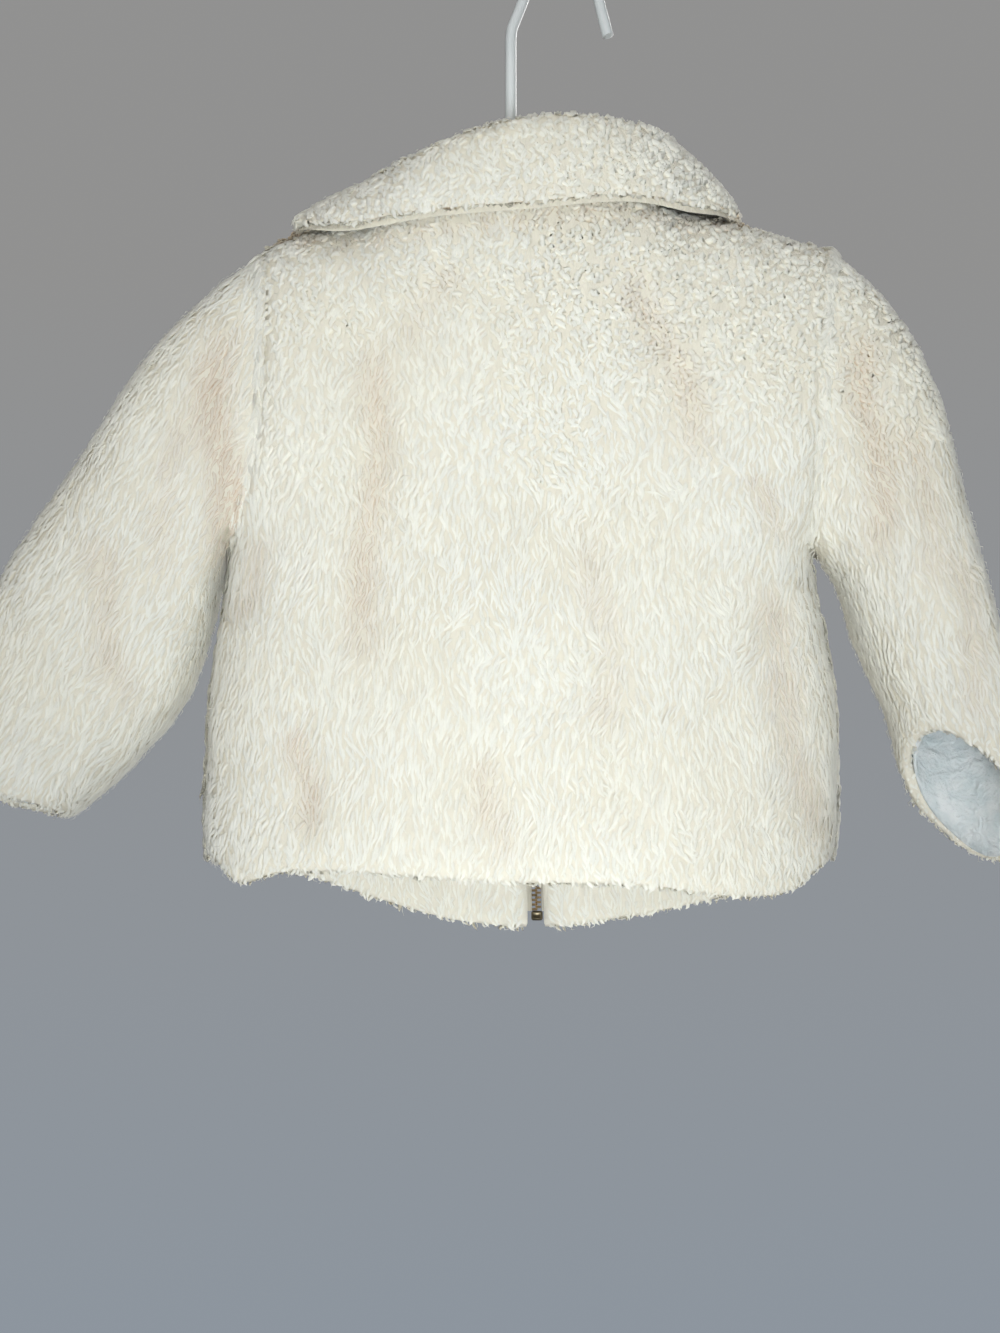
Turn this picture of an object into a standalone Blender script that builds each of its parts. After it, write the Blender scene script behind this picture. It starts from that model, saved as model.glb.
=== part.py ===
# A toddler's zip-up teddy-fur coat on a plastic hanger.
# Metres, +Z up. The coat's back faces -Y and its zip faces +Y, so the wearer's
# left sleeve is at -X. The origin is the inner top of the hanger's hook.
# Every cloth piece is a wall as thick as its backing and its pile together.

import math

import bmesh
import bpy
import numpy as np
from mathutils import Vector
from mathutils.bvhtree import BVHTree


def table(columns, *rows):
    """A table of named columns: each column is read as an array by its name."""
    return dict(zip(columns.split(), np.array(rows, float).T))


# Cloth
BACKING = 0.002  # knitted backing with its lining
PILE = 0.007  # fur above the backing
WALL = BACKING + PILE
LINING = 0.0012
SEAM_GAP = 0.0003
HALF_GAP = SEAM_GAP / 2
EDGE_ROLL = 0.004  # how far a turned hem rounds out past its wall

# The coat's own middle line, and where the hanger's stem stands beside it
COAT_X = -0.0226
STEM_X = -0.0276

# Grid of the panels: columns from the middle to the neck point and on to the side,
# rows from the hem to the underarm and on to the shoulder
NECK_COLUMNS = 7
SIDE_COLUMNS = 6
HALF_COLUMNS = NECK_COLUMNS + SIDE_COLUMNS
LOW_ROWS = 11
ARM_ROWS = 12
SLEEVE_ROWS = 13

# Body, measured from the middle line: where each side lies, and how far the back
# and the front stand out from the plane of the side seams
BODY = table(
    "height left right back front",
    (-0.528, -0.1520, 0.1500, 0.0545, 0.0570),
    (-0.505, -0.1580, 0.1560, 0.0560, 0.0585),
    (-0.478, -0.1614, 0.1608, 0.0565, 0.0585),
    (-0.437, -0.1612, 0.1622, 0.0565, 0.0580),
    (-0.411, -0.1605, 0.1620, 0.0560, 0.0570),
    (-0.385, -0.1576, 0.1588, 0.0552, 0.0560),
    (-0.354, -0.1530, 0.1535, 0.0542, 0.0550),
    (-0.325, -0.1490, 0.1500, 0.0532, 0.0540),
    (-0.304, -0.1400, 0.1512, 0.0525, 0.0530),
    (-0.272, -0.1350, 0.1540, 0.0515, 0.0520),
    (-0.235, -0.1335, 0.1570, 0.0500, 0.0510),
    (-0.203, -0.1332, 0.1590, 0.0480, 0.0495),
    (-0.166, -0.1380, 0.1635, 0.0450, 0.0480),
)
UNDERARM = table("across height", (-0.149, -0.325), (0.150, -0.332))
ARMHOLE_DEPTH = 0.038
ARMHOLE_ROUNDNESS = 2.4
SIDE_ROUNDNESS = 2.7
CHEST_SQUARENESS = 1.3  # how much squarer the body's outline is at the chest
CHEST_RISE = 1.3  # height over which it gets so, below the armhole's middle, in half armholes
SIDE_RISE = 1.5  # height over which the side fills out to the armhole, in half armholes
SIDE_SHARPNESS = 16  # how close to the side seam the armhole's own curve stays

# Lowest line of the hem, across the back and across the front
HEM_SIDE = 0.159  # where it meets the side seams
HEM = {
    "back": table(
        "across height",
        (-0.159, -0.495),
        (-0.146, -0.508),
        (-0.120, -0.5035),
        (-0.100, -0.504),
        (0.000, -0.510),
        (0.060, -0.511),
        (0.115, -0.5165),
        (0.140, -0.511),
        (0.159, -0.494),
    ),
    "front": table(
        "across height",
        (-0.159, -0.495),
        (-0.118, -0.498),
        (-0.075, -0.511),
        (-0.032, -0.523),
        (0.005, -0.5255),
        (0.053, -0.521),
        (0.112, -0.509),
        (0.159, -0.494),
    ),
}

# Shoulder seams, from the neck point out to the armhole
SHOULDER = {
    -1: table(
        "across height",
        (0.078, -0.1500),
        (0.098, -0.1545),
        (0.118, -0.1585),
        (0.1286, -0.1625),
        (0.138, -0.1705),
    ),
    1: table(
        "across height",
        (0.078, -0.1450),
        (0.098, -0.1500),
        (0.1185, -0.1540),
        (0.139, -0.1598),
        (0.1635, -0.1665),
    ),
}
SHOULDER_FOLD = 0.030  # height over which the cloth turns down off the hanger's arm
SHOULDER_FALL = 0.130  # height over which it reaches its full depth
SHOULDER_SHARE = 0.5  # share of the depth that the fold takes

# Neck opening
NECK_WIDTH_HALF = 0.078
NECK_DEPTH_HALF = 0.042
NECK_LOW = {"back": -0.146, "front": -0.188}

# Largest folds of the body: soft troughs from a top end to a bottom end
TROUGH_FACES = ("back", "back", "back", "back", "back", "front", "front", "front")
TROUGHS = table(
    "top_across top_height low_across low_height width depth",
    (-0.078, -0.235, -0.070, -0.375, 0.011, 0.0045),
    (0.060, -0.195, 0.088, -0.275, 0.012, 0.0025),
    (-0.108, -0.420, -0.104, -0.470, 0.010, 0.0030),
    (-0.020, -0.440, -0.012, -0.488, 0.012, 0.0025),
    (0.100, -0.380, 0.112, -0.470, 0.012, 0.0025),
    (-0.082, -0.230, -0.074, -0.360, 0.012, 0.0040),
    (0.084, -0.250, 0.070, -0.390, 0.012, 0.0035),
    (-0.105, -0.410, -0.098, -0.475, 0.011, 0.0025),
)

# Sleeves, from the armhole (0) to the cuff (1): the upper and the under edge, how far
# the middle is shifted to the front, and the reach from the middle to the front edge
SLEEVES = {
    -1: table(
        "along top_x top_z under_x under_z shift lean_x depth lean_z",
        (0.00, -0.138, -0.1705, -0.149, -0.325, 0.000, 0.000, 0.038, 0.000),
        (0.15, -0.1695, -0.1942, -0.1535, -0.340, 0.002, 0.000, 0.0415, 0.000),
        (0.30, -0.2000, -0.2275, -0.1575, -0.360, 0.004, 0.000, 0.0420, 0.000),
        (0.45, -0.2290, -0.2762, -0.1630, -0.385, 0.005, 0.000, 0.0410, 0.000),
        (0.60, -0.2560, -0.3175, -0.1715, -0.408, 0.006, 0.000, 0.0400, 0.000),
        (0.75, -0.2805, -0.3592, -0.1880, -0.431, 0.007, 0.000, 0.0380, 0.000),
        (0.90, -0.3060, -0.4080, -0.2135, -0.4565, 0.008, 0.000, 0.0350, 0.000),
        (1.00, -0.3190, -0.4420, -0.2300, -0.4705, 0.008, 0.000, 0.0330, 0.000),
    ),
    1: table(
        "along top_x top_z under_x under_z shift lean_x depth lean_z",
        (0.00, 0.1635, -0.1665, 0.150, -0.332, 0.000, 0.000, 0.038, 0.000),
        (0.15, 0.1860, -0.1865, 0.1605, -0.343, 0.001, 0.000, 0.0415, 0.000),
        (0.30, 0.2050, -0.2125, 0.1670, -0.358, 0.001, 0.000, 0.0420, 0.000),
        (0.45, 0.2210, -0.2520, 0.1715, -0.376, 0.000, -0.001, 0.0410, -0.001),
        (0.60, 0.2290, -0.2970, 0.1775, -0.391, -0.002, -0.002, 0.0395, -0.002),
        (0.75, 0.2400, -0.3500, 0.1840, -0.406, -0.005, -0.003, 0.0365, -0.004),
        (0.90, 0.2540, -0.4300, 0.1910, -0.424, -0.008, -0.006, 0.0300, -0.011),
        (1.00, 0.2565, -0.4850, 0.1940, -0.435, -0.010, -0.008, 0.0260, -0.0165),
    ),
}
SLEEVE_BLEND = 0.4  # share of a sleeve in which the armhole's own outline fades out
LINED_ROWS = 5  # rows of each sleeve that its lining shows in, up from the cuff

# Collar: round the neck from the left end at the zip (-180) past the middle of the
# back (0) to the right end (180). The height of its fold, how far its free edge
# stands out from the neck seam, and the height of that edge
COLLAR = table(
    "angle top reach edge",
    (-180, -0.152, 0.020, -0.222),
    (-135, -0.145, 0.030, -0.190),
    (-90, -0.129, 0.043, -0.152),
    (-60, -0.1275, 0.031, -0.163),
    (-30, -0.118, 0.013, -0.162),
    (0, -0.1075, 0.009, -0.1595),
    (45, -0.1045, 0.017, -0.151),
    (70, -0.1040, 0.028, -0.148),
    (90, -0.1065, 0.037, -0.150),
    (135, -0.132, 0.032, -0.183),
    (180, -0.150, 0.020, -0.220),
)
UPPER_COLLAR = 0.0060
UNDER_COLLAR = 0.0030
COLLAR_FOLD_RADIUS = 0.0050
STAND_LEAN = 0.003
COLLAR_CLEAR = 0.0040  # between the under collar and the body's fur
FALL_CROWN = 0.3  # how far the fall arches above a straight line, as a share of its drop
STAND_STEPS = 3
FOLD_STEPS = 4
FALL_STEPS = 4
UNDER_COLLAR_EXTRA = 0.0025  # how far the under collar's edge shows past the upper's

# Zip, down the middle of the front
ZIP_TOP_X = 0.001
ZIP_LOW_X = 0.009
ZIP_HALF = 0.00475  # from the zip's middle to the fur's edge
ZIP_TAPE_REACH = 0.014
ZIP_TAPE = 0.0008
TEETH_HALF = 0.0025
TEETH_THICK = 0.0026
ZIP_STEPS = 20
ZIP_LOW = -0.5150
ZIP_HIGH = -0.1990
BOX_SIZE = (0.0060, 0.0036, 0.0050)
SLIDER_SIZE = (0.0080, 0.0046, 0.0090)
LUG_HALF = 0.0008
LUG_RADIUS = 0.0020
LUG_REACH = 0.0030
TAB_HALF = 0.0030
TAB_THICK = 0.0014
TAB_LENGTH = 0.0240

# Hanger
ROD_RADIUS = 0.0031
HOOK_RADIUS = 0.0206  # of the rod's own middle line
HOOK_SIDE = math.radians(12)  # how far the arch runs on below its widest place
STEM_BEND = -0.046
STEM_FOOT = -0.1290
TIP = (0.0254, -0.0440)
ARM_RADIUS = 0.0040
ARM = table(
    "across height",
    (0.000, -0.1400),
    (0.025, -0.1425),
    (0.045, -0.1500),
    (0.065, -0.1595),
    (0.080, -0.1665),
    (0.095, -0.1702),
    (0.112, -0.1737),
    (0.122, -0.1765),
    (0.128, -0.1815),
)
ARM_STEPS = 12
HUB_RADIUS = 0.0065
HUB_HEIGHT = 0.0120


def smooth_read(data, column, by, value):
    """The column at a value of another column, on a smooth curve through the rows."""
    xs, ys = data[by], data[column]
    value = min(max(value, xs[0]), xs[-1])
    i = min(max(np.searchsorted(xs, value) - 1, 0), len(xs) - 2)
    slopes = np.gradient(ys, xs)
    step = xs[i + 1] - xs[i]
    t = (value - xs[i]) / step
    rise = (1 + 2 * t) * (1 - t) ** 2 * ys[i] + t * t * (3 - 2 * t) * ys[i + 1]
    bend = t * (1 - t) ** 2 * slopes[i] - t * t * (1 - t) * slopes[i + 1]
    return rise + step * bend


def ease(value):
    """0 to 1, smoothly, as value goes from 0 to 1."""
    value = min(max(value, 0.0), 1.0)
    return value * value * (3 - 2 * value)


def unit(vectors):
    return vectors / np.linalg.norm(vectors, axis=-1, keepdims=True)


def side_x(side, z):
    return smooth_read(BODY, "left" if side < 0 else "right", "height", z)


def underarm_z(x):
    return np.interp(x, UNDERARM["across"], UNDERARM["height"])


def zip_x(z):
    return np.interp(z, (HEM["front"]["height"].min(), NECK_LOW["front"]), (ZIP_LOW_X, ZIP_TOP_X))


def shoulder_end(side):
    return side * SHOULDER[side]["across"][-1]


def top_z(face, x):
    """Height of a panel's top edge: the neck seam, then the shoulder seam."""
    side = -1 if x < 0 else 1
    if abs(x) > NECK_WIDTH_HALF:
        return smooth_read(SHOULDER[side], "height", "across", abs(x))
    neck_point = SHOULDER[side]["height"][0]
    middle = NECK_LOW[face]
    return middle + (neck_point - middle) * (x / NECK_WIDTH_HALF) ** 2


def armhole_frame(side):
    """Middle height and half height of an armhole."""
    top = SHOULDER[side]["height"][-1]
    low = UNDERARM["height"][0 if side < 0 else -1]
    return (top + low) / 2, (top - low) / 2


def bow(share, roundness):
    """Half width of a rounded oval at a share of its half height."""
    return max(1 - min(abs(share), 1) ** roundness, 0) ** (1 / roundness)


def trough_depth(face, x, z):
    """How far the folds take the surface in at one place."""
    sunk = 0.0
    for i in range(len(TROUGH_FACES)):
        if TROUGH_FACES[i] != face:
            continue
        row = {name: column[i] for name, column in TROUGHS.items()}
        share = (z - row["low_height"]) / (row["top_height"] - row["low_height"])
        middle = row["low_across"] + share * (row["top_across"] - row["low_across"])
        along = math.exp(-((2 * share - 1) ** 4))
        sunk += row["depth"] * along * math.exp(-(((x - middle) / row["width"]) ** 2))
    return sunk


def body_depth(face, x, z):
    """How far the body's fur stands out from the plane of the side seams."""
    side = -1 if x < 0 else 1
    share = min(abs(x / side_x(side, z)), 1)
    middle, half = armhole_frame(side)
    armhole = ARMHOLE_DEPTH * bow((z - middle) / half, ARMHOLE_ROUNDNESS)
    if z < middle:
        soft = ARMHOLE_DEPTH * ease((z - middle) / (SIDE_RISE * half) + 1)
        armhole = soft + (armhole - soft) * share**SIDE_SHARPNESS
    chest = ease((z - middle) / (CHEST_RISE * half) + 1)
    roundness = SIDE_ROUNDNESS + CHEST_SQUARENESS * chest
    across = max(1 - share**roundness, 0) ** (1 / SIDE_ROUNDNESS)
    drop = max(top_z(face, x) - z, 0)
    fold = bow(1 - min(drop / SHOULDER_FOLD, 1), 2)
    fall = bow(1 - min(drop / SHOULDER_FALL, 1), 2)
    turned = SHOULDER_SHARE * fold + (1 - SHOULDER_SHARE) * fall
    neck = NECK_DEPTH_HALF * bow(x / NECK_WIDTH_HALF, 2)
    full = smooth_read(BODY, face, "height", z) - trough_depth(face, x, z)
    return (1 - turned) * neck + across * turned * full + (1 - across) * armhole


def half_panel(face, side):
    """Outer points of half a panel, rows from the hem up, columns from the middle out."""
    sign = -1 if face == "back" else 1
    rows = []
    for j in range(LOW_ROWS + ARM_ROWS + 1):
        above = max(j - LOW_ROWS, 0) / ARM_ROWS
        climb = (1 - math.cos(math.pi * above)) / 2
        tip = shoulder_end(side)
        underarm = UNDERARM["height"][0 if side < 0 else -1]
        edge_low = smooth_read(HEM[face], "height", "across", side * HEM_SIDE)
        edge_z = edge_low + EDGE_ROLL + (underarm - edge_low - EDGE_ROLL) * min(j / LOW_ROWS, 1)
        edge_z += (SHOULDER[side]["height"][-1] - underarm) * climb
        row = []
        for c in range(HALF_COLUMNS + 1):
            start = 0.0 if face == "back" else zip_x(edge_z) + side * ZIP_HALF
            neck = side * NECK_WIDTH_HALF
            if c <= NECK_COLUMNS:
                top_x = start + (neck - start) * math.sin(math.pi / 2 * c / NECK_COLUMNS)
            else:
                top_x = neck + (tip - neck) * (c - NECK_COLUMNS) / SIDE_COLUMNS
            high = (top_x - start) / (tip - start)
            low = math.sin(math.pi / 2 * c / HALF_COLUMNS)
            share = low + (high - low) * ease(above)
            x = start + (side_x(side, edge_z) - start) * share
            hem = smooth_read(HEM[face], "height", "across", x) + EDGE_ROLL
            z = hem + (underarm_z(x) - hem) * min(j / LOW_ROWS, 1)
            z += (top_z(face, x) - underarm_z(x)) * climb
            row.append((x, sign * body_depth(face, x, z), z))
        rows.append(row)
    grid = np.array(rows)
    grid[: LOW_ROWS + 1, -1, 1] = 0.0
    grid[-1, NECK_COLUMNS:, 1] = 0.0
    return grid


def grid_normals(grid, closed=False):
    """Unit normals of a grid of points, from its neighbours."""
    up = np.gradient(grid, axis=0)
    if closed:
        across = (np.roll(grid, -1, axis=1) - np.roll(grid, 1, axis=1)) / 2
    else:
        across = np.gradient(grid, axis=1)
    return unit(np.cross(across, up))


def neck_normals(points):
    """Directions straight out from the neck's oval, level."""
    out = points * (NECK_WIDTH_HALF**-2, NECK_DEPTH_HALF**-2, 0)
    return unit(out)


def armhole_normals(side, points):
    """Directions straight out from the armhole's oval, in its upright plane."""
    middle, half = armhole_frame(side)
    out = (points - (0, 0, middle)) * (0, ARMHOLE_DEPTH**-2, half**-2)
    return unit(out)


def shoulder_normal(x):
    """Direction straight out of the shoulder seam, in the plane that it lies in."""
    step = 0.001
    slope = (top_z("back", x + step) - top_z("back", x - step)) / (2 * step)
    return unit(np.array((-slope, 0, 1)))


def panel_walls(face, halves):
    """Outer and inner points of a panel, made of its halves' columns from -X to +X."""
    columns = []
    parts = []
    for side in halves:
        half = half_panel(face, side)
        order = range(HALF_COLUMNS, -1, -1) if side < 0 else range(HALF_COLUMNS + 1)
        for c in order:
            if face == "back" and side > 0 and c == 0:
                continue
            columns.append((side, c))
            parts.append(half[:, c])
    outer = np.stack(parts, axis=1)
    sign = -1 if face == "back" else 1
    normals = -sign * grid_normals(outer)
    gaps = np.zeros_like(outer)
    for i, (side, c) in enumerate(columns):
        if c == HALF_COLUMNS:
            normals[:LOW_ROWS, i] = (side, 0, 0)
            normals[LOW_ROWS:, i] = armhole_normals(side, outer[LOW_ROWS:, i])
            gaps[: LOW_ROWS + 1, i, 1] = sign * HALF_GAP
            gaps[LOW_ROWS:, i, 0] = -side * HALF_GAP
        elif c > NECK_COLUMNS:
            normals[-1, i] = shoulder_normal(outer[-1, i, 0])
        else:
            normals[-1, i] = neck_normals(outer[-1, i])
        if c >= NECK_COLUMNS:
            gaps[-1, i, 1] = sign * HALF_GAP
    return outer + gaps, outer - WALL * normals + gaps


def armhole_loop(side):
    """Points round an armhole from the underarm up the back and down the front."""
    loop = [half_panel(face, side)[LOW_ROWS:, -1] for face in ("back", "front")]
    return np.concatenate((loop[0], loop[1][-2:0:-1]))


def sleeve_ring(side, along, count):
    """Points round a sleeve at one place along it, in the armhole's order."""
    row = {name: smooth_read(SLEEVES[side], name, "along", along) for name in SLEEVES[side]}
    top = np.array((row["top_x"], row["shift"], row["top_z"]))
    under = np.array((row["under_x"], row["shift"], row["under_z"]))
    front = np.array((row["lean_x"], row["depth"], row["lean_z"]))
    ring = []
    for k in range(count):
        turn = 2 * math.pi * k / count
        out = math.copysign(bow(math.cos(turn), ARMHOLE_ROUNDNESS), -math.sin(turn))
        ring.append((top + under) / 2 - (top - under) / 2 * math.cos(turn) + front * out)
    return np.array(ring)


def sleeve_walls(side):
    """Outer points of a sleeve and its normals, rings from the armhole to the cuff."""
    loop = armhole_loop(side)
    count = len(loop)
    off = loop - sleeve_ring(side, 0, count)
    rings = []
    for r in range(SLEEVE_ROWS + 1):
        along = r / SLEEVE_ROWS
        rings.append(sleeve_ring(side, along, count) + off * (1 - ease(along / SLEEVE_BLEND)))
    outer = np.array(rings)
    normals = -side * grid_normals(outer, closed=True)
    normals[0] = armhole_normals(side, outer[0])
    outer[0, :, 0] += side * HALF_GAP
    return outer, normals


def wall_solid(name, outer, inner, material, closed=False, rolled=0.0):
    """A closed wall between two facing grids of points. rolled rounds its first row."""
    rows, count = outer.shape[:2]
    mesh = bmesh.new()
    skins = [[[mesh.verts.new(p) for p in row] for row in grid] for grid in (outer, inner)]
    last = count if closed else count - 1
    for skin in skins:
        for j in range(rows - 1):
            for i in range(last):
                k = (i + 1) % count
                mesh.faces.new((skin[j][i], skin[j][k], skin[j + 1][k], skin[j + 1][i]))
    edges = [[skin[0] for skin in skins], [skin[-1] for skin in skins]]
    if rolled:
        down = unit(outer[0] - outer[1]) * rolled
        middle = (outer[0] + inner[0]) / 2 + down
        edges[0].insert(1, [mesh.verts.new(p) for p in middle])
    for edge in edges:
        for near, far in zip(edge, edge[1:]):
            for i in range(last):
                k = (i + 1) % count
                mesh.faces.new((near[i], near[k], far[k], far[i]))
    if not closed:
        for i in (0, -1):
            for j in range(rows - 1):
                out, back = skins
                mesh.faces.new((out[j][i], out[j + 1][i], back[j + 1][i], back[j][i]))
            if rolled:
                mesh.faces.new([row[i] for row in edges[0]])
    return finish(name, mesh, material)


def finish(name, mesh, material):
    """Turns a bmesh into a named object with its faces pointing out."""
    bmesh.ops.recalc_face_normals(mesh, faces=mesh.faces)
    data = bpy.data.meshes.new(name)
    mesh.to_mesh(data)
    mesh.free()
    data.shade_smooth()
    data.set_sharp_from_angle(angle=math.radians(50))
    return place(name, data, material)


def place(name, data, material, at=None):
    data.materials.append(material)
    item = bpy.data.objects.new(name, data)
    item.location = at or (COAT_X, 0, 0)
    bpy.context.scene.collection.objects.link(item)
    return item


def make_material(name, colour, roughness, metallic=0.0):
    material = bpy.data.materials.new(name)
    material.use_nodes = True
    shader = material.node_tree.nodes["Principled BSDF"]
    shader.inputs["Base Color"].default_value = (*colour, 1)
    shader.inputs["Roughness"].default_value = roughness
    shader.inputs["Metallic"].default_value = metallic
    return material


def make_panels(fur):
    """The back and the two fronts. Returns their outer points for what lies on them."""
    back, back_inner = panel_walls("back", (-1, 1))
    wall_solid("back", back, back_inner, fur, rolled=EDGE_ROLL)
    left, left_inner = panel_walls("front", (-1,))
    wall_solid("front_left", left, left_inner, fur, rolled=EDGE_ROLL)
    right, right_inner = panel_walls("front", (1,))
    wall_solid("front_right", right, right_inner, fur, rolled=EDGE_ROLL)
    return {"back": back, "left": left, "right": right, "zip_edge": right_inner[:, 0]}


def make_sleeves(fur, lining):
    for side, word in ((-1, "left"), (1, "right")):
        outer, normals = sleeve_walls(side)
        inner = outer - WALL * normals
        wall_solid("sleeve_" + word, outer[::-1], inner[::-1], fur, True, EDGE_ROLL)
        cuff = slice(SLEEVE_ROWS - LINED_ROWS, None)
        near = (outer - (WALL + SEAM_GAP) * normals)[cuff]
        far = (outer - (WALL + SEAM_GAP + LINING) * normals)[cuff]
        wall_solid("sleeve_lining_" + word, near[::-1], far[::-1], lining, True)


def skin_tree(grids):
    """A search tree over the body's outer faces."""
    points = []
    faces = []
    for grid in grids:
        first = len(points)
        rows, count = grid.shape[:2]
        points.extend(map(tuple, grid.reshape(-1, 3)))
        flip = grid[:, :, 1].mean() > 0
        for j in range(rows - 1):
            for i in range(count - 1):
                at = first + j * count + i
                face = (at, at + 1, at + count + 1, at + count)
                faces.append(face[::-1] if flip else face)
    return BVHTree.FromPolygons(points, faces)


def clear_of(tree, point, gap):
    """The point, moved out from the body's surface until it is a gap clear of it."""
    for _ in range(3):
        near, normal, _, _ = tree.find_nearest(tuple(point))
        short = gap - float(np.dot(point - np.array(near), normal))
        if short > 0:
            point = point + np.array(normal) * short
    return point


def rest_on(tree, point, gap):
    """The place a gap above the body's surface, straight out from where the point is nearest."""
    near, normal, _, _ = tree.find_nearest(tuple(point))
    return np.array(near) + np.array(normal) * gap


def collar_section(seam, out, angle, tree):
    """Points of the collar's middle surface at one station: stand, fold and fall."""
    top = smooth_read(COLLAR, "top", "angle", angle)
    reach = smooth_read(COLLAR, "reach", "angle", angle)
    edge = smooth_read(COLLAR, "edge", "angle", angle)
    up = np.array((0, 0, 1))
    foot = seam - out * (UNDER_COLLAR + SEAM_GAP) + up * 2 * SEAM_GAP
    turn = top - UPPER_COLLAR - HALF_GAP - COLLAR_FOLD_RADIUS
    head = foot - out * STAND_LEAN
    head[2] = turn
    path = [foot + (head - foot) * k / STAND_STEPS for k in range(STAND_STEPS)]
    middle = head + out * COLLAR_FOLD_RADIUS
    for k in range(FOLD_STEPS + 1):
        bend = math.pi * (1 - k / FOLD_STEPS)
        path.append(middle + COLLAR_FOLD_RADIUS * (out * math.cos(bend) + up * math.sin(bend)))
    start = path[-1]
    clear = UNDER_COLLAR + COLLAR_CLEAR
    end = seam + out * reach
    end[2] = edge
    end = rest_on(tree, end, clear)
    pull = (start + end) / 2 + up * (start[2] - end[2]) * FALL_CROWN
    for k in range(1, FALL_STEPS):
        t = k / FALL_STEPS
        point = start * (1 - t) ** 2 + pull * 2 * t * (1 - t) + end * t * t
        path.append(clear_of(tree, point, clear))
    return np.array(path + [end])


def make_collar(grids, fur, under_fur):
    """Upper and under collar, one round the other, from the neck seam to the free edge."""
    tree = skin_tree((grids["back"], grids["left"], grids["right"]))
    middle = HALF_COLUMNS
    seam = np.concatenate(
        (
            grids["left"][-1, :-NECK_COLUMNS - 1:-1],
            grids["back"][-1, middle - NECK_COLUMNS : middle + NECK_COLUMNS + 1],
            grids["right"][-1, NECK_COLUMNS - 1 :: -1],
        )
    )
    count = len(seam)
    sections = []
    for k in range(count):
        out = neck_normals(seam[k])
        sections.append(collar_section(seam[k], out, 360 * k / (count - 1) - 180, tree))
    surface = np.array(sections).transpose(1, 0, 2)[::-1]
    normals = grid_normals(surface)
    normals[-1] = neck_normals(surface[-1]) * -1
    upper = surface + normals * HALF_GAP
    wall_solid("collar", surface + normals * (UPPER_COLLAR + HALF_GAP), upper, fur, rolled=0.002)
    lower = surface.copy()
    lower[0] += unit(surface[0] - surface[1]) * UNDER_COLLAR_EXTRA
    near = lower - normals * SEAM_GAP
    far = lower - normals * (UNDER_COLLAR + SEAM_GAP)
    wall_solid("under_collar", near, far, under_fur, rolled=0.001)


def strip(name, material, heights, left, right, y_low, y_high):
    """A flat upright band: each argument after the heights gives a place at each height."""
    rows = [[(left[k], y_low[k], z), (right[k], y_low[k], z)] for k, z in enumerate(heights)]
    backs = [[(left[k], y_high[k], z), (right[k], y_high[k], z)] for k, z in enumerate(heights)]
    return wall_solid(name, np.array(rows), np.array(backs), material)


def box_mesh(size, middle):
    """A bevelled block."""
    mesh = bmesh.new()
    bmesh.ops.create_cube(mesh, size=1)
    bmesh.ops.scale(mesh, verts=mesh.verts, vec=size)
    bevel = min(size) * 0.2
    bmesh.ops.bevel(mesh, geom=mesh.edges, offset=bevel, segments=1, profile=0.5, affect="EDGES")
    bmesh.ops.translate(mesh, verts=mesh.verts, vec=middle)
    return mesh


def side_plate(outline, half):
    """A plate whose outline lies in the Y-Z plane, half as thick to each side of X 0."""
    mesh = bmesh.new()
    face = mesh.faces.new([mesh.verts.new((-half, y, z)) for y, z in outline])
    pushed = bmesh.ops.extrude_face_region(mesh, geom=[face])
    moved = [item for item in pushed["geom"] if isinstance(item, bmesh.types.BMVert)]
    bmesh.ops.translate(mesh, verts=moved, vec=(2 * half, 0, 0))
    return mesh


def arc(middle, radius, first, last, steps):
    """Points along an arc of angles in degrees, in a plane of two axes."""
    turns = [math.radians(first + (last - first) * k / steps) for k in range(steps + 1)]
    return [(middle[0] + radius * math.cos(a), middle[1] + radius * math.sin(a)) for a in turns]


def make_zip(edge, tape, brass):
    """Two tapes behind the fronts' edges, the closed teeth between them, the box, the
    slider at the neck and its pull tab."""
    heights = np.linspace(ZIP_LOW, ZIP_HIGH, ZIP_STEPS + 1)
    face = np.interp(heights, edge[:, 2], edge[:, 1]) - SEAM_GAP
    middle = np.array([zip_x(z) for z in heights])
    inner = TEETH_HALF + SEAM_GAP
    back = face - ZIP_TAPE
    strip("zip_tape_left", tape, heights, middle - ZIP_TAPE_REACH, middle - inner, back, face)
    strip("zip_tape_right", tape, heights, middle + inner, middle + ZIP_TAPE_REACH, back, face)
    plane = face - ZIP_TAPE / 2
    half = TEETH_THICK / 2
    sides = (middle - TEETH_HALF, middle + TEETH_HALF)
    strip("zip_teeth", brass, heights, *sides, plane - half, plane + half)
    low = (zip_x(ZIP_LOW), plane[0], ZIP_LOW - SEAM_GAP - BOX_SIZE[2] / 2)
    finish("zip_box", box_mesh(BOX_SIZE, low), brass)
    slider_z = ZIP_HIGH + SEAM_GAP + SLIDER_SIZE[2] / 2
    slider = box_mesh(SLIDER_SIZE, (0, 0, 0))
    slider = finish("zip_slider", slider, brass)
    slider.location = (COAT_X + zip_x(ZIP_HIGH), plane[-1], slider_z)
    lug_y = SLIDER_SIZE[1] / 2 + LUG_REACH
    root = SLIDER_SIZE[1] / 2 - 0.001
    outline = [(root, -LUG_RADIUS)] + arc((lug_y, 0), LUG_RADIUS, -90, 90, 6) + [(root, LUG_RADIUS)]
    lug = helper("lug", side_plate(outline, LUG_HALF), slider)
    join = slider.modifiers.new("lug", "BOOLEAN")
    join.operation = "UNION"
    join.object = lug
    return slider, lug_y


def helper(name, mesh, parent):
    """A shape that only cuts or joins its parent."""
    item = finish(name, mesh, parent.data.materials[0])
    item.location = parent.location
    item.hide_render = True
    item.display_type = "WIRE"
    return item


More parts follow.
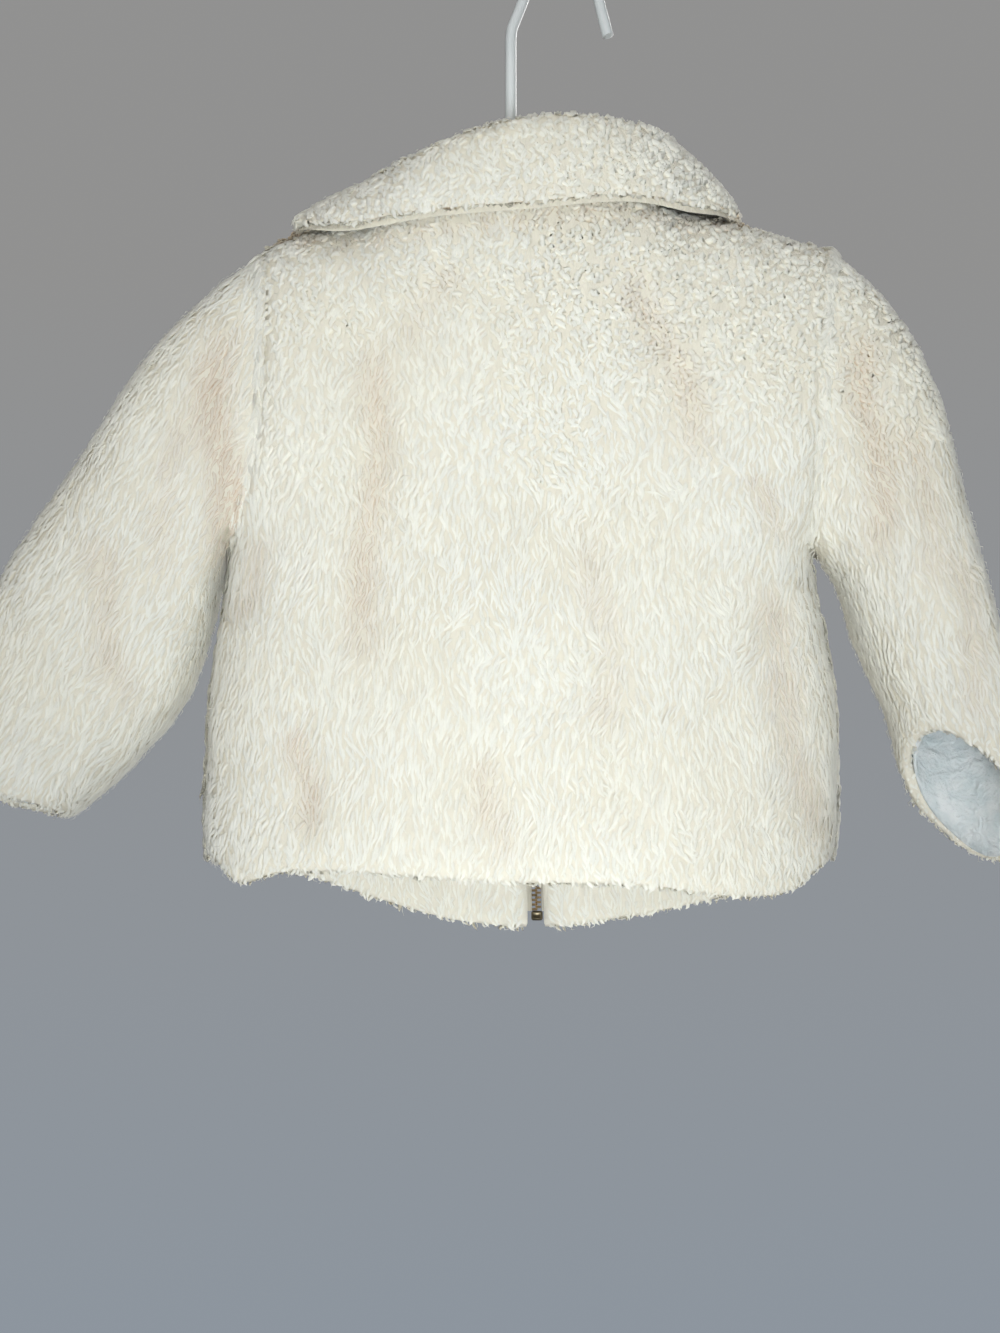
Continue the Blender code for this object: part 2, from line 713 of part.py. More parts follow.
def make_tab(slider, lug_y, brass):
    """The pull tab, forked round the slider's lug, with its origin on the hinge."""
    hinge = slider.location + Vector((0, lug_y, 0))
    thick = TAB_THICK / 2
    round_top = arc((0, 0), LUG_RADIUS, 180, 0, 6)
    outline = round_top + [(LUG_RADIUS, -LUG_RADIUS), (thick, -2 * LUG_RADIUS)]
    outline += [(thick, -TAB_LENGTH), (-thick, -TAB_LENGTH), (-thick, -2 * LUG_RADIUS)]
    outline += [(-LUG_RADIUS, -LUG_RADIUS)]
    tab = finish("zip_pull", side_plate(outline, TAB_HALF), brass)
    tab.location = hinge
    reach = LUG_RADIUS + SEAM_GAP
    slot_half = LUG_HALF + SEAM_GAP
    slot = box_mesh((2 * slot_half, 4 * reach, 3 * reach), (0, 0, 0.5 * reach))
    slot = helper("slot", slot, tab)
    cut = tab.modifiers.new("slot", "BOOLEAN")
    cut.operation = "DIFFERENCE"
    cut.object = slot
    return tab


def rod(name, points, radius, material, sides=3):
    """A round bar along a line of points."""
    curve = bpy.data.curves.new(name, "CURVE")
    curve.dimensions = "3D"
    curve.bevel_depth = radius
    curve.bevel_resolution = sides
    curve.use_fill_caps = True
    spline = curve.splines.new("POLY")
    spline.points.add(len(points) - 1)
    for point, (x, z) in zip(spline.points, points):
        point.co = (x, 0, z, 1)
    return place(name, curve, material, (0, 0, 0))


def make_hanger(plastic):
    """The hook with its stem, and the two arms with the hub that the stem stands on."""
    centre = (0, ROD_RADIUS - HOOK_RADIUS)
    over = math.degrees(HOOK_SIDE)
    arch = arc(centre, HOOK_RADIUS, 180 + over, -over, 18)
    stem = [(STEM_X, STEM_FOOT), (STEM_X, -0.09), (STEM_X, STEM_BEND)]
    start = arch[0]
    neck = [(STEM_X + 0.0006, STEM_BEND + 0.006), (STEM_X + 0.0032, STEM_BEND + 0.013)]
    neck.append(((neck[-1][0] + start[0]) / 2, (neck[-1][1] + start[1]) / 2))
    rod("hanger_hook", stem + neck + arch + [TIP], ROD_RADIUS, plastic)
    reaches = np.linspace(-1, 1, 2 * ARM_STEPS + 1) * ARM["across"][-1]
    line = [(STEM_X + x, smooth_read(ARM, "height", "across", abs(x))) for x in reaches]
    arms = rod("hanger_arms", line, ARM_RADIUS, plastic)
    mesh = bmesh.new()
    bmesh.ops.create_cone(
        mesh,
        cap_ends=True,
        segments=16,
        radius1=HUB_RADIUS,
        radius2=HUB_RADIUS * 0.8,
        depth=HUB_HEIGHT,
    )
    bmesh.ops.translate(mesh, verts=mesh.verts, vec=(0, 0, STEM_FOOT - SEAM_GAP - HUB_HEIGHT / 2))
    arms.select_set(True)
    bpy.context.view_layer.objects.active = arms
    bpy.ops.object.convert(target="MESH")
    hub = helper("hub", mesh, arms)
    hub.location = (STEM_X, 0, 0)
    join = arms.modifiers.new("hub", "BOOLEAN")
    join.operation = "UNION"
    join.object = hub


def main():
    for item in list(bpy.data.objects):
        bpy.data.objects.remove(item)
    fur = make_material("cream_fur", (0.80, 0.76, 0.66), 0.9)
    lining = make_material("pale_lining", (0.66, 0.70, 0.70), 0.7)
    tape = make_material("zip_tape", (0.72, 0.68, 0.60), 0.8)
    brass = make_material("brass", (0.42, 0.30, 0.14), 0.35, 1.0)
    plastic = make_material("white_plastic", (0.80, 0.80, 0.80), 0.4)
    grids = make_panels(fur)
    make_sleeves(fur, lining)
    make_collar(grids, fur, fur)
    slider, lug_y = make_zip(grids["zip_edge"], tape, brass)
    make_tab(slider, lug_y, brass)
    make_hanger(plastic)


main()
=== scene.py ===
# Looks of a toddler's zip-up teddy-fur coat on a white plastic hanger.
import math

import bmesh
import bpy
import numpy as np
from mathutils import Matrix, Vector, noise
from mathutils.kdtree import KDTree


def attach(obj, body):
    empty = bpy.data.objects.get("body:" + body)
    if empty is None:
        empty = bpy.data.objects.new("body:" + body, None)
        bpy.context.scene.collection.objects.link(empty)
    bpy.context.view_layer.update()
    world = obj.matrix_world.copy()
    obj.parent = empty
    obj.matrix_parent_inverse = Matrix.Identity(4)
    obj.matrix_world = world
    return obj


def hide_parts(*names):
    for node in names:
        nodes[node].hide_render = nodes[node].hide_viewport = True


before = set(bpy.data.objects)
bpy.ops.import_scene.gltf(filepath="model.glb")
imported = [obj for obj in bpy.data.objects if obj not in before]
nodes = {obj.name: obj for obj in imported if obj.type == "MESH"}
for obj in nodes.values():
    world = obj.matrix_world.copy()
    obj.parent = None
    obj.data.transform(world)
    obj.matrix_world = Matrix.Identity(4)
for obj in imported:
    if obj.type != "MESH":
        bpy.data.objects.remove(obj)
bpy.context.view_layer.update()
body = "coat"


def ease(x):
    x = np.clip(x, 0.0, 1.0)
    return x * x * (3 - 2 * x)


def unit(v):
    return v / np.maximum(np.linalg.norm(v, axis=-1, keepdims=True), 1e-9)


def mixed(a, b, share):
    return a + (b - a) * share


def addObject(name, data, materials=()):
    item = bpy.data.objects.new(name, data)
    bpy.context.scene.collection.objects.link(item)
    for m in materials:
        data.materials.append(m)
    return item


def fromBmesh(name, bm, materials, sharp=40):
    mesh = bpy.data.meshes.new(name)
    bm.to_mesh(mesh)
    bm.free()
    mesh.shade_smooth()
    mesh.set_sharp_from_angle(angle=math.radians(sharp))
    return addObject(name, mesh, materials)


room = {
    "cameraAt": (-0.0334, -1.12, -0.59), "tilt": 10.0, "lens": 59.4, "sensor": 36, "nearest": 0.05,
    "floorHeight": -1.25, "floorSize": 8.0, "floorColour": (0.60, 0.60, 0.60, 1),
    "airHigh": (0.285, 0.284, 0.282, 1), "airLow": (0.268, 0.303, 0.345, 1), "airSpan": (-0.12, 0.34),
    "glow": (0.97, 0.985, 1.0, 1), "glowStrength": 0.14,
}
lamps = {  # place, aim, size, spread in degrees, watts, colour
    "key": ((-0.80, -1.75, 0.30), (0.02, 0.0, -0.24), 1.1, 60, 0.85, (1.0, 0.985, 0.96)),
    "fill": ((0.06, -1.40, -1.00), (-0.02, 0.0, -0.34), 0.7, 34, 1.4, (0.94, 0.98, 1.0)),
    "low": ((-0.02, -0.75, -1.25), (-0.02, 0.045, -0.55), 0.2, 16, 0.08, (0.94, 0.98, 1.0)),
    "front": ((0.90, 1.90, 0.60), (-0.04, 0.0, -0.34), 1.5, 180, 34.0, (1.0, 0.99, 0.97)),
    "top": ((0.0, -0.30, 1.10), (-0.05, 0.0, -0.20), 0.9, 180, 4.0, (1.0, 0.99, 0.97)),
}


def makeRoom():
    camera = addObject("camera", bpy.data.cameras.new("camera"))
    camera.location = room["cameraAt"]
    camera.rotation_euler = (math.radians(90 + room["tilt"]), 0, 0)
    camera.data.lens = room["lens"]
    camera.data.sensor_width = room["sensor"]
    camera.data.clip_start = room["nearest"]
    bpy.context.scene.camera = camera
    bpy.context.scene.view_settings.view_transform = "Standard"
    world = bpy.data.worlds.new("air")
    world.use_nodes = True
    tree = world.node_tree
    seen = tree.nodes["Background"]
    around = tree.nodes.new("ShaderNodeTexCoord").outputs["Generated"]
    height = addNode(tree, "ShaderNodeSeparateXYZ", {0: around}).outputs["Z"]
    shade = mixColour(tree, ranged(tree, height, *room["airSpan"]), room["airLow"], room["airHigh"])
    tree.links.new(shade, seen.inputs["Color"])
    glow = addNode(tree, "ShaderNodeBackground", {"Color": room["glow"], "Strength": room["glowStrength"]})
    direct = tree.nodes.new("ShaderNodeLightPath").outputs["Is Camera Ray"]
    both = addNode(tree, "ShaderNodeMixShader", {0: direct, 1: glow.outputs[0], 2: seen.outputs[0]})
    tree.links.new(both.outputs[0], tree.nodes["World Output"].inputs["Surface"])
    bpy.context.scene.world = world
    for name, (place, aim, size, spread, watts, tone) in lamps.items():
        lamp = bpy.data.lights.new(name, "AREA")
        lamp.energy, lamp.size, lamp.color, lamp.spread = watts, size, tone, math.radians(spread)
        item = addObject(name, lamp)
        item.location = place
        item.rotation_euler = (Vector(aim) - Vector(place)).to_track_quat("-Z", "Y").to_euler()
    bm = bmesh.new()
    bmesh.ops.create_grid(bm, x_segments=1, y_segments=1, size=room["floorSize"] / 2)
    bmesh.ops.translate(bm, verts=bm.verts, vec=(0, 0, room["floorHeight"]))
    fromBmesh("floor", bm, [floorFinish()])
    print("room ready")


# inputs are given by name, as values or as other sockets
def addNode(tree, kind, inputs=(), **values):
    made = tree.nodes.new(kind)
    for key, value in values.items():
        setattr(made, key, value)
    for key, value in dict(inputs).items():
        if isinstance(value, bpy.types.NodeSocket):
            tree.links.new(value, made.inputs[key])
        else:
            made.inputs[key].default_value = value
    return made


def newFinish(name, roughness, metallic=0.0, **sockets):
    material = bpy.data.materials.new(name)
    material.use_nodes = True
    shader = material.node_tree.nodes["Principled BSDF"]
    shader.inputs["Roughness"].default_value = roughness
    shader.inputs["Metallic"].default_value = metallic
    for key, value in sockets.items():
        shader.inputs[key.replace("_", " ")].default_value = value
    return material, material.node_tree, shader


# inputs and outputs are names with their kinds of socket
def newGroup(name, inputs, outputs):
    group = bpy.data.node_groups.new(name, "ShaderNodeTree")
    for way, sockets in (("INPUT", inputs), ("OUTPUT", outputs)):
        for label, kind in sockets.items():
            group.interface.new_socket(label, in_out=way, socket_type=kind)
    return group, group.nodes.new("NodeGroupInput"), group.nodes.new("NodeGroupOutput")


def useGroup(tree, group, **values):
    return addNode(tree, "ShaderNodeGroup", values, node_tree=group)


def mixColour(tree, share, a, b, blend="MIX"):
    inputs = {0: share, 6: a, 7: b}
    return addNode(tree, "ShaderNodeMix", inputs, data_type="RGBA", blend_type=blend).outputs[2]


def maths(tree, operation, a, b=0.0):
    return addNode(tree, "ShaderNodeMath", {0: a, 1: b}, operation=operation).outputs[0]


def times(tree, a, b):
    return maths(tree, "MULTIPLY", a, b)


# a value taken from one range to another
def ranged(tree, value, low, high, toLow=0.0, toHigh=1.0, **kind):
    made = addNode(tree, "ShaderNodeMapRange", {
        "Value": value, "From Min": low, "From Max": high, "To Min": toLow, "To Max": toHigh}, **kind)
    return made.outputs["Result"]


def placeIn(tree):
    return tree.nodes.new("ShaderNodeTexCoord").outputs["Object"]


def noiseOn(tree, where, scale, detail, **more):
    inputs = {"Vector": where, "Scale": scale, "Detail": detail, **more}
    return addNode(tree, "ShaderNodeTexNoise", inputs).outputs["Fac"]


# a finish's colour, and the relief of its surface: its strength and its depth
def surface(tree, shader, tone, height, relief):
    tree.links.new(tone, shader.inputs["Base Color"])
    bump = addNode(tree, "ShaderNodeBump", {"Height": height, "Strength": relief[0], "Distance": relief[1]})
    tree.links.new(bump.outputs["Normal"], shader.inputs["Normal"])


def darker(tone, share):
    return (*(share * c for c in tone[:3]), 1)


colour, number = "NodeSocketColor", "NodeSocketFloat"


# slow, uneven patches over a piece, from 0 to 1
def patchGroup():
    group, start, end = newGroup("patches", {"Size": number}, {"Value": number})
    cloud = noiseOn(group, placeIn(group), start.outputs["Size"], 3.0, Roughness=0.55)
    group.links.new(ranged(group, cloud, 0.35, 0.65), end.inputs["Value"])
    return group


patches = patchGroup()


def cloudOf(tree, size):
    return useGroup(tree, patches, Size=size).outputs["Value"]


looks = {  # tones, sizes of patches, threads and grain, shares, and the relief
    # Root and the tan are painted shade: Root where a lock sinks into the pile, the tan in creases and under
    # the collar's edge
    "fur": {"Root": (0.72, 0.65, 0.49, 1), "Tip": (0.925, 0.92, 0.845, 1),
            "Warm": (0.925, 0.898, 0.775, 1), "ShadeTan": (0.60, 0.44, 0.29, 1)},
    "lock": {
        "patches": 13.0, "warmShare": 0.5, "shadeShare": 0.42,
        "paleFrom": 0.62, "rootPale": 0.72,  # how far up a lock is pale, and how pale its painted root shade is
        "sideBand": (0.33, 0.17),  # shaded sides, from a lock's ridge outward
        "lockTint": (0.93, 1.03), "hairTint": (0.95, 1.03),
        "hairs": (9.0, 1.4, 53.0), "relief": (0.35, 0.0003),
    },
    # the ground's tone is darker than the lock tips as painted shade in the fur's depths
    "ground": {"tone": (0.862, 0.822, 0.705, 1), "low": 0.93, "drawn": (1.0, 1.0, 0.34),
               "grain": 430.0, "relief": (0.6, 0.0016)},
    "knit": {"tones": ((0.62, 0.60, 0.54, 1), (0.42, 0.40, 0.35, 1)), "worn": (0.66, 0.61, 0.52, 1),
             "wornShare": 0.35, "patches": 16.0, "threads": (2300.0, 2900.0), "relief": (0.6, 0.0003)},
    # the lining is pale; its faint blue is painted cool shade
    "lining": {"tones": ((0.68, 0.75, 0.76, 1), (0.86, 0.89, 0.89, 1)), "patches": 95.0,
               "threads": 5200.0, "gaps": (0.47, 0.52, 0.53, 1), "gapShare": 0.12,
               "pucker": 130.0, "nap": 620.0, "napShare": 0.30, "relief": (0.9, 0.0030)},
    "tape": {"tones": ((0.74, 0.70, 0.58, 1), (0.57, 0.53, 0.43, 1)), "worn": (0.66, 0.61, 0.50, 1),
             "wornShare": 0.30, "patches": 40.0, "threads": (3600.0, 5200.0), "relief": (0.7, 0.0003)},
    "brass": {"tones": ((0.50, 0.36, 0.19, 1), (0.20, 0.15, 0.085, 1)),
              "darkTones": ((0.17, 0.14, 0.09, 1), (0.075, 0.068, 0.045, 1)),
              "patches": 190.0, "rough": (0.26, 0.50), "relief": (0.25, 0.0002)},
    "plastic": {"tones": ((0.69, 0.73, 0.73, 1), (0.76, 0.79, 0.79, 1)), "patches": 22.0,
                "grain": 420.0, "rough": (0.30, 0.48), "relief": (0.12, 0.0003)},
    "thread": {"tones": ((0.62, 0.57, 0.47, 1), (0.76, 0.71, 0.61, 1)), "twist": 900.0,
               "relief": (0.4, 0.0002)},
}


# a lock of fur: painted shade at its root and along its sides, pale at its tip, a painted tan shade in
# creases and under the collar's edge, fine hairs along it
def strandGroup(look):
    tones = tuple(looks["fur"])
    outputs = {"Color": colour, "Hairs": number}
    group, start, end = newGroup("strandTone", {label: colour for label in tones}, outputs)
    root, tip, warm, shadeTan = (start.outputs[label] for label in tones)
    lock = addNode(group, "ShaderNodeUVMap", uv_map="lock").outputs["UV"]
    parts = addNode(group, "ShaderNodeSeparateXYZ", {0: lock})
    across, along = parts.outputs["X"], parts.outputs["Y"]
    tint, paintedShade, depth = (
        addNode(group, "ShaderNodeAttribute", attribute_name=name).outputs["Fac"]
        for name in ("tint", "paintedShade", "depth"))
    cloud = times(group, cloudOf(group, look["patches"]), look["warmShare"])
    pale = mixColour(group, cloud, tip, warm)
    # painted shade: darker at the root, tan in the creases and under the collar's edge
    deep = mixColour(group, paintedShade, root, shadeTan)
    pale = mixColour(group, times(group, paintedShade, look["shadeShare"]), pale, shadeTan)
    # painted root shade, fading up the lock to its pale tip
    climb = ranged(group, along, 0.0, look["paleFrom"], interpolation_type="SMOOTHSTEP")
    tone = mixColour(group, climb, mixColour(group, look["rootPale"], deep, pale), pale)
    # painted shade on the lock's sides, between neighbouring locks
    offTop = maths(group, "ABSOLUTE", maths(group, "SUBTRACT", across, 0.5))
    side = times(group, ranged(group, offTop, *look["sideBand"]), depth)
    tone = mixColour(group, side, tone, deep)
    hairs = addNode(group, "ShaderNodeCombineXYZ", {
        axis: times(group, value, size)
        for axis, value, size in zip("XYZ", (across, along, tint), look["hairs"])})
    fine = noiseOn(group, hairs.outputs[0], 1.0, 2.0)
    streak = ranged(group, fine, 0.3, 0.7, *look["hairTint"])
    level = times(group, ranged(group, tint, 0.0, 1.0, *look["lockTint"]), streak)
    grey = addNode(group, "ShaderNodeCombineColor", {"Red": level, "Green": level, "Blue": level})
    group.links.new(mixColour(group, 1.0, tone, grey.outputs["Color"], "MULTIPLY"), end.inputs["Color"])
    group.links.new(fine, end.inputs["Hairs"])
    return group


# crossed threads in the plane of X and Z: a height and a mask of the gaps between them
def threadGroup():
    outputs = {"Height": number, "Gaps": number}
    group, start, end = newGroup("threads", {"Across": number, "Up": number}, outputs)
    where = addNode(group, "ShaderNodeSeparateXYZ", {0: placeIn(group)})
    waves = []
    for axis, name in (("X", "Across"), ("Z", "Up")):
        turn = times(group, where.outputs[axis], start.outputs[name])
        waves.append(maths(group, "ABSOLUTE", maths(group, "SINE", turn)))
    height = times(group, *waves)
    group.links.new(height, end.inputs["Height"])
    group.links.new(maths(group, "SUBTRACT", 1.0, height), end.inputs["Gaps"])
    return group


def floorFinish():
    material, tree, shader = newFinish("floorFinish", 0.9)
    tone = room["floorColour"]
    patchy = mixColour(tree, cloudOf(tree, 3.0), darker(tone, 0.96), tone)
    tree.links.new(patchy, shader.inputs["Base Color"])
    return material


strandTone = strandGroup(looks["lock"])
threads = threadGroup()


def furFinish():
    material, tree, shader = newFinish(
        "creamFur", 0.85, Sheen_Weight=0.2, Sheen_Roughness=0.45, Specular_IOR_Level=0.2)
    tone = useGroup(tree, strandTone, **looks["fur"])
    surface(tree, shader, tone.outputs["Color"], tone.outputs["Hairs"], looks["lock"]["relief"])
    return material


# the short dense pile under the locks, darker and warmer than their tips as painted shade of the fur's
# depths
def groundFinish(look):
    material, tree, shader = newFinish("furGround", 0.95, Specular_IOR_Level=0.1)
    drawn = addNode(tree, "ShaderNodeVectorMath", {0: placeIn(tree), 1: look["drawn"]}, operation="MULTIPLY")
    nap = noiseOn(tree, drawn.outputs[0], look["grain"], 3.0, Distortion=0.7)
    tone = mixColour(tree, ranged(tree, nap, 0.32, 0.62), darker(look["tone"], look["low"]), look["tone"])
    surface(tree, shader, tone, nap, look["relief"])
    return material


# woven or knitted cloth, worn soft in patches
def wovenFinish(name, look, roughness, **sockets):
    material, tree, shader = newFinish(name, roughness, **sockets)
    weave = useGroup(tree, threads, **dict(zip(("Across", "Up"), look["threads"])))
    base = mixColour(tree, weave.outputs["Gaps"], *look["tones"])
    worn = times(tree, cloudOf(tree, look["patches"]), look["wornShare"])
    surface(tree, shader, mixColour(tree, worn, base, look["worn"]), weave.outputs["Height"], look["relief"])
    return material


# pale lining, softly napped and puckered, with a faint blue that is painted cool shade inside the cuff
def liningFinish(look):
    material, tree, shader = newFinish("paleLining", 0.8, Sheen_Weight=0.3, Specular_IOR_Level=0.25)
    weave = useGroup(tree, threads, Across=look["threads"], Up=look["threads"])
    tone = mixColour(tree, cloudOf(tree, look["patches"]), *look["tones"])
    gaps = times(tree, weave.outputs["Gaps"], look["gapShare"])
    pucker = noiseOn(tree, placeIn(tree), look["pucker"], 3.0, Distortion=0.8)
    nap = times(tree, noiseOn(tree, placeIn(tree), look["nap"], 3.0), look["napShare"])
    tone = mixColour(tree, gaps, tone, look["gaps"])
    surface(tree, shader, tone, maths(tree, "ADD", pucker, nap), look["relief"])
    return material


# antique brass: bright where it is rubbed, dull and rougher elsewhere
def brassFinish(name, look, tones):
    material, tree, shader = newFinish(name, 0.35, metallic=1.0)
    cloud = cloudOf(tree, look["patches"])
    tree.links.new(ranged(tree, cloud, 0.0, 1.0, *look["rough"]), shader.inputs["Roughness"])
    surface(tree, shader, mixColour(tree, cloud, *tones), cloud, look["relief"])
    return material


# white moulded plastic, a little scuffed
def plasticFinish(look):
    material, tree, shader = newFinish("whitePlastic", 0.38, Coat_Weight=0.15, Coat_Roughness=0.2)
    scuff = noiseOn(tree, placeIn(tree), look["grain"], 4.0)
    tree.links.new(ranged(tree, scuff, 0.0, 1.0, *look["rough"]), shader.inputs["Roughness"])
    tone = mixColour(tree, cloudOf(tree, look["patches"]), *look["tones"])
    surface(tree, shader, tone, scuff, look["relief"])
    return material


# spun sewing thread
def threadFinish(look):
    material, tree, shader = newFinish("sewingThread", 0.7, Specular_IOR_Level=0.25)
    inputs = {"Vector": placeIn(tree), "Scale": look["twist"]}
    twist = addNode(tree, "ShaderNodeTexWave", inputs, bands_direction="DIAGONAL").outputs["Fac"]
    surface(tree, shader, mixColour(tree, twist, *look["tones"]), twist, look["relief"])
    return material


fur = furFinish()
ground = groundFinish(looks["ground"])
knit = wovenFinish("knitBacking", looks["knit"], 0.9, Sheen_Weight=0.15, Specular_IOR_Level=0.2)
lining = liningFinish(looks["lining"])
tape = wovenFinish("zipTape", looks["tape"], 0.8, Specular_IOR_Level=0.25)
brass = brassFinish("antiqueBrass", looks["brass"], looks["brass"]["tones"])
darkBrass = brassFinish("darkBrass", looks["brass"], looks["brass"]["darkTones"])
plastic = plasticFinish(looks["plastic"])
thread = threadFinish(looks["thread"])
print("finishes ready")


cloth = {
    "wall": {"coat": 0.009, "collar": 0.006, "under_collar": 0.003,
             "sleeve_lining": 0.0012, "zip_tape": 0.0008},
    "sink": 0.22, "underSink": 0.25,  # share of a furred wall's thickness that is loose pile
    "rimAngle": math.radians(45), "seamReach": 0.00045, "rimCrease": 0.8,
    "creaseAngle": math.radians(60), "sharpAngle": math.radians(55),
    "roll": 0.0022,  # how far a turned edge rounds out past its shell
    "meet": 0.00035,  # how far a panel is let out at a seam to meet its neighbour
    "turnUp": 0.030, "hemBelow": -0.478,  # fur turned up inside the coat's hem
    "strip": 0.009,  # furred edge of the ply under the collar
    "puff": 0.00045, "puffSize": 62, "puffWall": 0.004,  # uneven mounds of the pile, on walls above this
    "shared": 0.0040, "seamEase": 0.014,  # reach of one panel's normals into the next
    "facing": (0.0145, 0.0200), "facingLift": 0.0014, "facingFade": 0.008,  # fur turned in over the tapes
    "tuck": {"back": 0.016, "front_left": 0.016, "front_right": 0.016, "collar": 0.009},  # reach of the painted tan shadow at the collar, along the ply under it
}
fold = {"sway": 0.25, "swayTurns": 7.0, "swayShift": 40, "topFade": 0.30, "lowFade": 0.35}
# face (-1 back, 1 front), top x, z, low x, z, width, depth in millimetres; a ridge where negative
creases = {
    "back": (
        (-1, -95, -235, -101, -385, 9, 3.2),
        (-1, -112, -250, -118, -360, 8, -1.4),
        (-1, -134, -428, -124, -480, 8, 3),
        (-1, -46, -445, -30, -492, 9, 2.4),
        (-1, 34, -192, 70, -285, 9.5, 2.6),
        (-1, 52, -196, 90, -280, 8, -1.2),
        (-1, 100, -360, 122, -480, 9, 2.6),
        (-1, 10, -330, 22, -425, 11, 1.6),
        (-1, -60, -190, -82, -232, 9, 1.8),
        (-1, 92, -300, 112, -330, 7, 1.8),
        (-1, -150, -330, -166, -372, 8, 2.2),
    ),
    "front_left": (
        (1, -112, -240, -98, -372, 9, 2.8),
        (1, -70, -200, -88, -262, 8, 1.8),
        (1, -140, -400, -126, -476, 8, 2.6),
        (1, -56, -420, -68, -492, 9, 2.2),
        (1, -150, -326, -160, -366, 8, 2),
    ),
    "front_right": (
        (1, 62, -250, 50, -392, 9, 2.6),
        (1, 30, -206, 46, -268, 8, 1.6),
        (1, 104, -392, 118, -470, 8, 2.6),
        (1, 20, -430, 12, -496, 8, 2),
        (1, 108, -312, 120, -352, 8, 2),
    ),
    "sleeve_left": (
        (-1, -178, -222, -172, -336, 10.5, 4.6),
        (-1, -196, -262, -206, -350, 8, 1.8),
        (-1, -238, -330, -222, -412, 9, 2.2),
        (-1, -262, -360, -284, -432, 9, -1.2),
        (1, -178, -236, -176, -326, 9, 2.8),
        (1, -232, -310, -222, -398, 8, 2),
        (1, -270, -380, -262, -440, 8, 1.8),
    ),
    "sleeve_right": (
        (-1, 152, -226, 160, -332, 8.5, 3.6),
        (-1, 178, -268, 184, -360, 8, 2),
        (-1, 196, -330, 206, -420, 8, 2),
        (1, 156, -232, 160, -320, 8, 2.6),
        (1, 184, -300, 192, -388, 8, 2),
    ),
    "collar": ((-1, -36, -152, 0, -153, 2.2, 1.2),),
}


def treeOf(points):
    tree = KDTree(len(points))
    for i, point in enumerate(points):
        tree.insert(point, i)
    tree.balance()
    return tree


# a wall's two skins, the larger first: parted by its sharp rims and by the seam it is sewn at
def skinsOf(bm, sewnTo):
    tree = treeOf([v.co for n in sewnTo for v in nodes[n].data.vertices])
    seam = {v for v in bm.verts if sewnTo and tree.find(v.co)[2] < cloth["seamReach"]}
    left = {f for f in bm.faces if not all(v in seam for v in f.verts)}
    groups = []
    while left:
        group = [left.pop()]
        for face in group:
            for edge in face.edges:
                if len(edge.link_faces) == 2 and edge.calc_face_angle() < cloth["rimAngle"]:
                    more = [f for f in edge.link_faces if f in left]
                    left.difference_update(more)
                    group += more
        groups.append(group)
    groups.sort(key=lambda g: -sum(f.calc_area() for f in g))
    return set(groups[0]), set(groups[1])


# how deep the listed creases are at each point
def foldDepth(points, rows):
    total = np.zeros(len(points))
    for face, *row in rows:
        topX, topZ, lowX, lowZ, width, depth = (value / 1000 for value in row)
        line = np.array((lowX - topX, lowZ - topZ))
        length = np.linalg.norm(line)
        line = line / length
        off = points[:, (0, 2)] - (topX, topZ)
        along = off @ line / length
        sway = fold["sway"] * width * np.sin(fold["swayTurns"] * along + fold["swayShift"] * topX)
        aside = off @ np.array((-line[1], line[0])) + sway
        deep = depth * ease(along / fold["topFade"] + 0.5) * ease((1 - along) / fold["lowFade"] + 0.5)
        deep = deep * np.exp(-((aside / width) ** 2))
        total += np.where(points[:, 1] * face > 0, face * deep, 0)
    return total


# a row of values for each of a mesh's items
def readAll(items, key, width=1, kind=float):
    values = np.zeros(len(items) * width, kind)
    items.foreach_get(key, values)
    return values.reshape(-1, width) if width > 1 else values


def pointsOf(mesh):
    return readAll(mesh.vertices, "co", 3)


# a solid's mesh, merged, with its flat triangles joined where an angle is given
def solidForm(node, joined=0):
    bm = bmesh.new()
    bm.from_mesh(nodes[node].data)
    bmesh.ops.remove_doubles(bm, verts=bm.verts, dist=1e-6)
    if joined:
        bmesh.ops.join_triangles(bm, faces=bm.faces, angle_face_threshold=math.radians(joined),
                                 angle_shape_threshold=math.radians(joined + 10))
    return bm


# a smooth noise over the places, about -1 to 1
def slowNoise(places, size, seed):
    shift = Vector((seed * 3.7, seed * 1.9, seed * 5.3))
    return np.array([noise.noise(Vector(p) * size + shift) for p in places]) * 1.6


# a solid's middle line, from its lowest ring of points to its highest
def middleOf(node):
    points = pointsOf(nodes[node].data)
    heights = np.unique(points[:, 2].round(5))
    return np.array([points[np.abs(points[:, 2] - h) < 2e-5].mean(0) for h in heights])


# how far each place is from the zip's middle line, with its side
def offZip(places):
    line = middleOf("zip_teeth")
    return places[:, 0] - np.interp(places[:, 2], line[:, 2], line[:, 0])


# the fronts' turned-in hem lies over the backs of the zip's tapes
def overTapes(points, normals):
    back = middleOf("zip_tape_left")
    near, far = cloth["facing"]
    share = ease((far - np.abs(offZip(points))) / (far - near)) * (normals[:, 1] < -0.3)
    share = share * ease((cloth["hemBelow"] + cloth["turnUp"] - points[:, 2]) / cloth["facingFade"])
    top = np.interp(points[:, 2], back[:, 2], back[:, 1]) - cloth["facingLift"]
    return mixed(points[:, 1], np.minimum(points[:, 1], top), share)


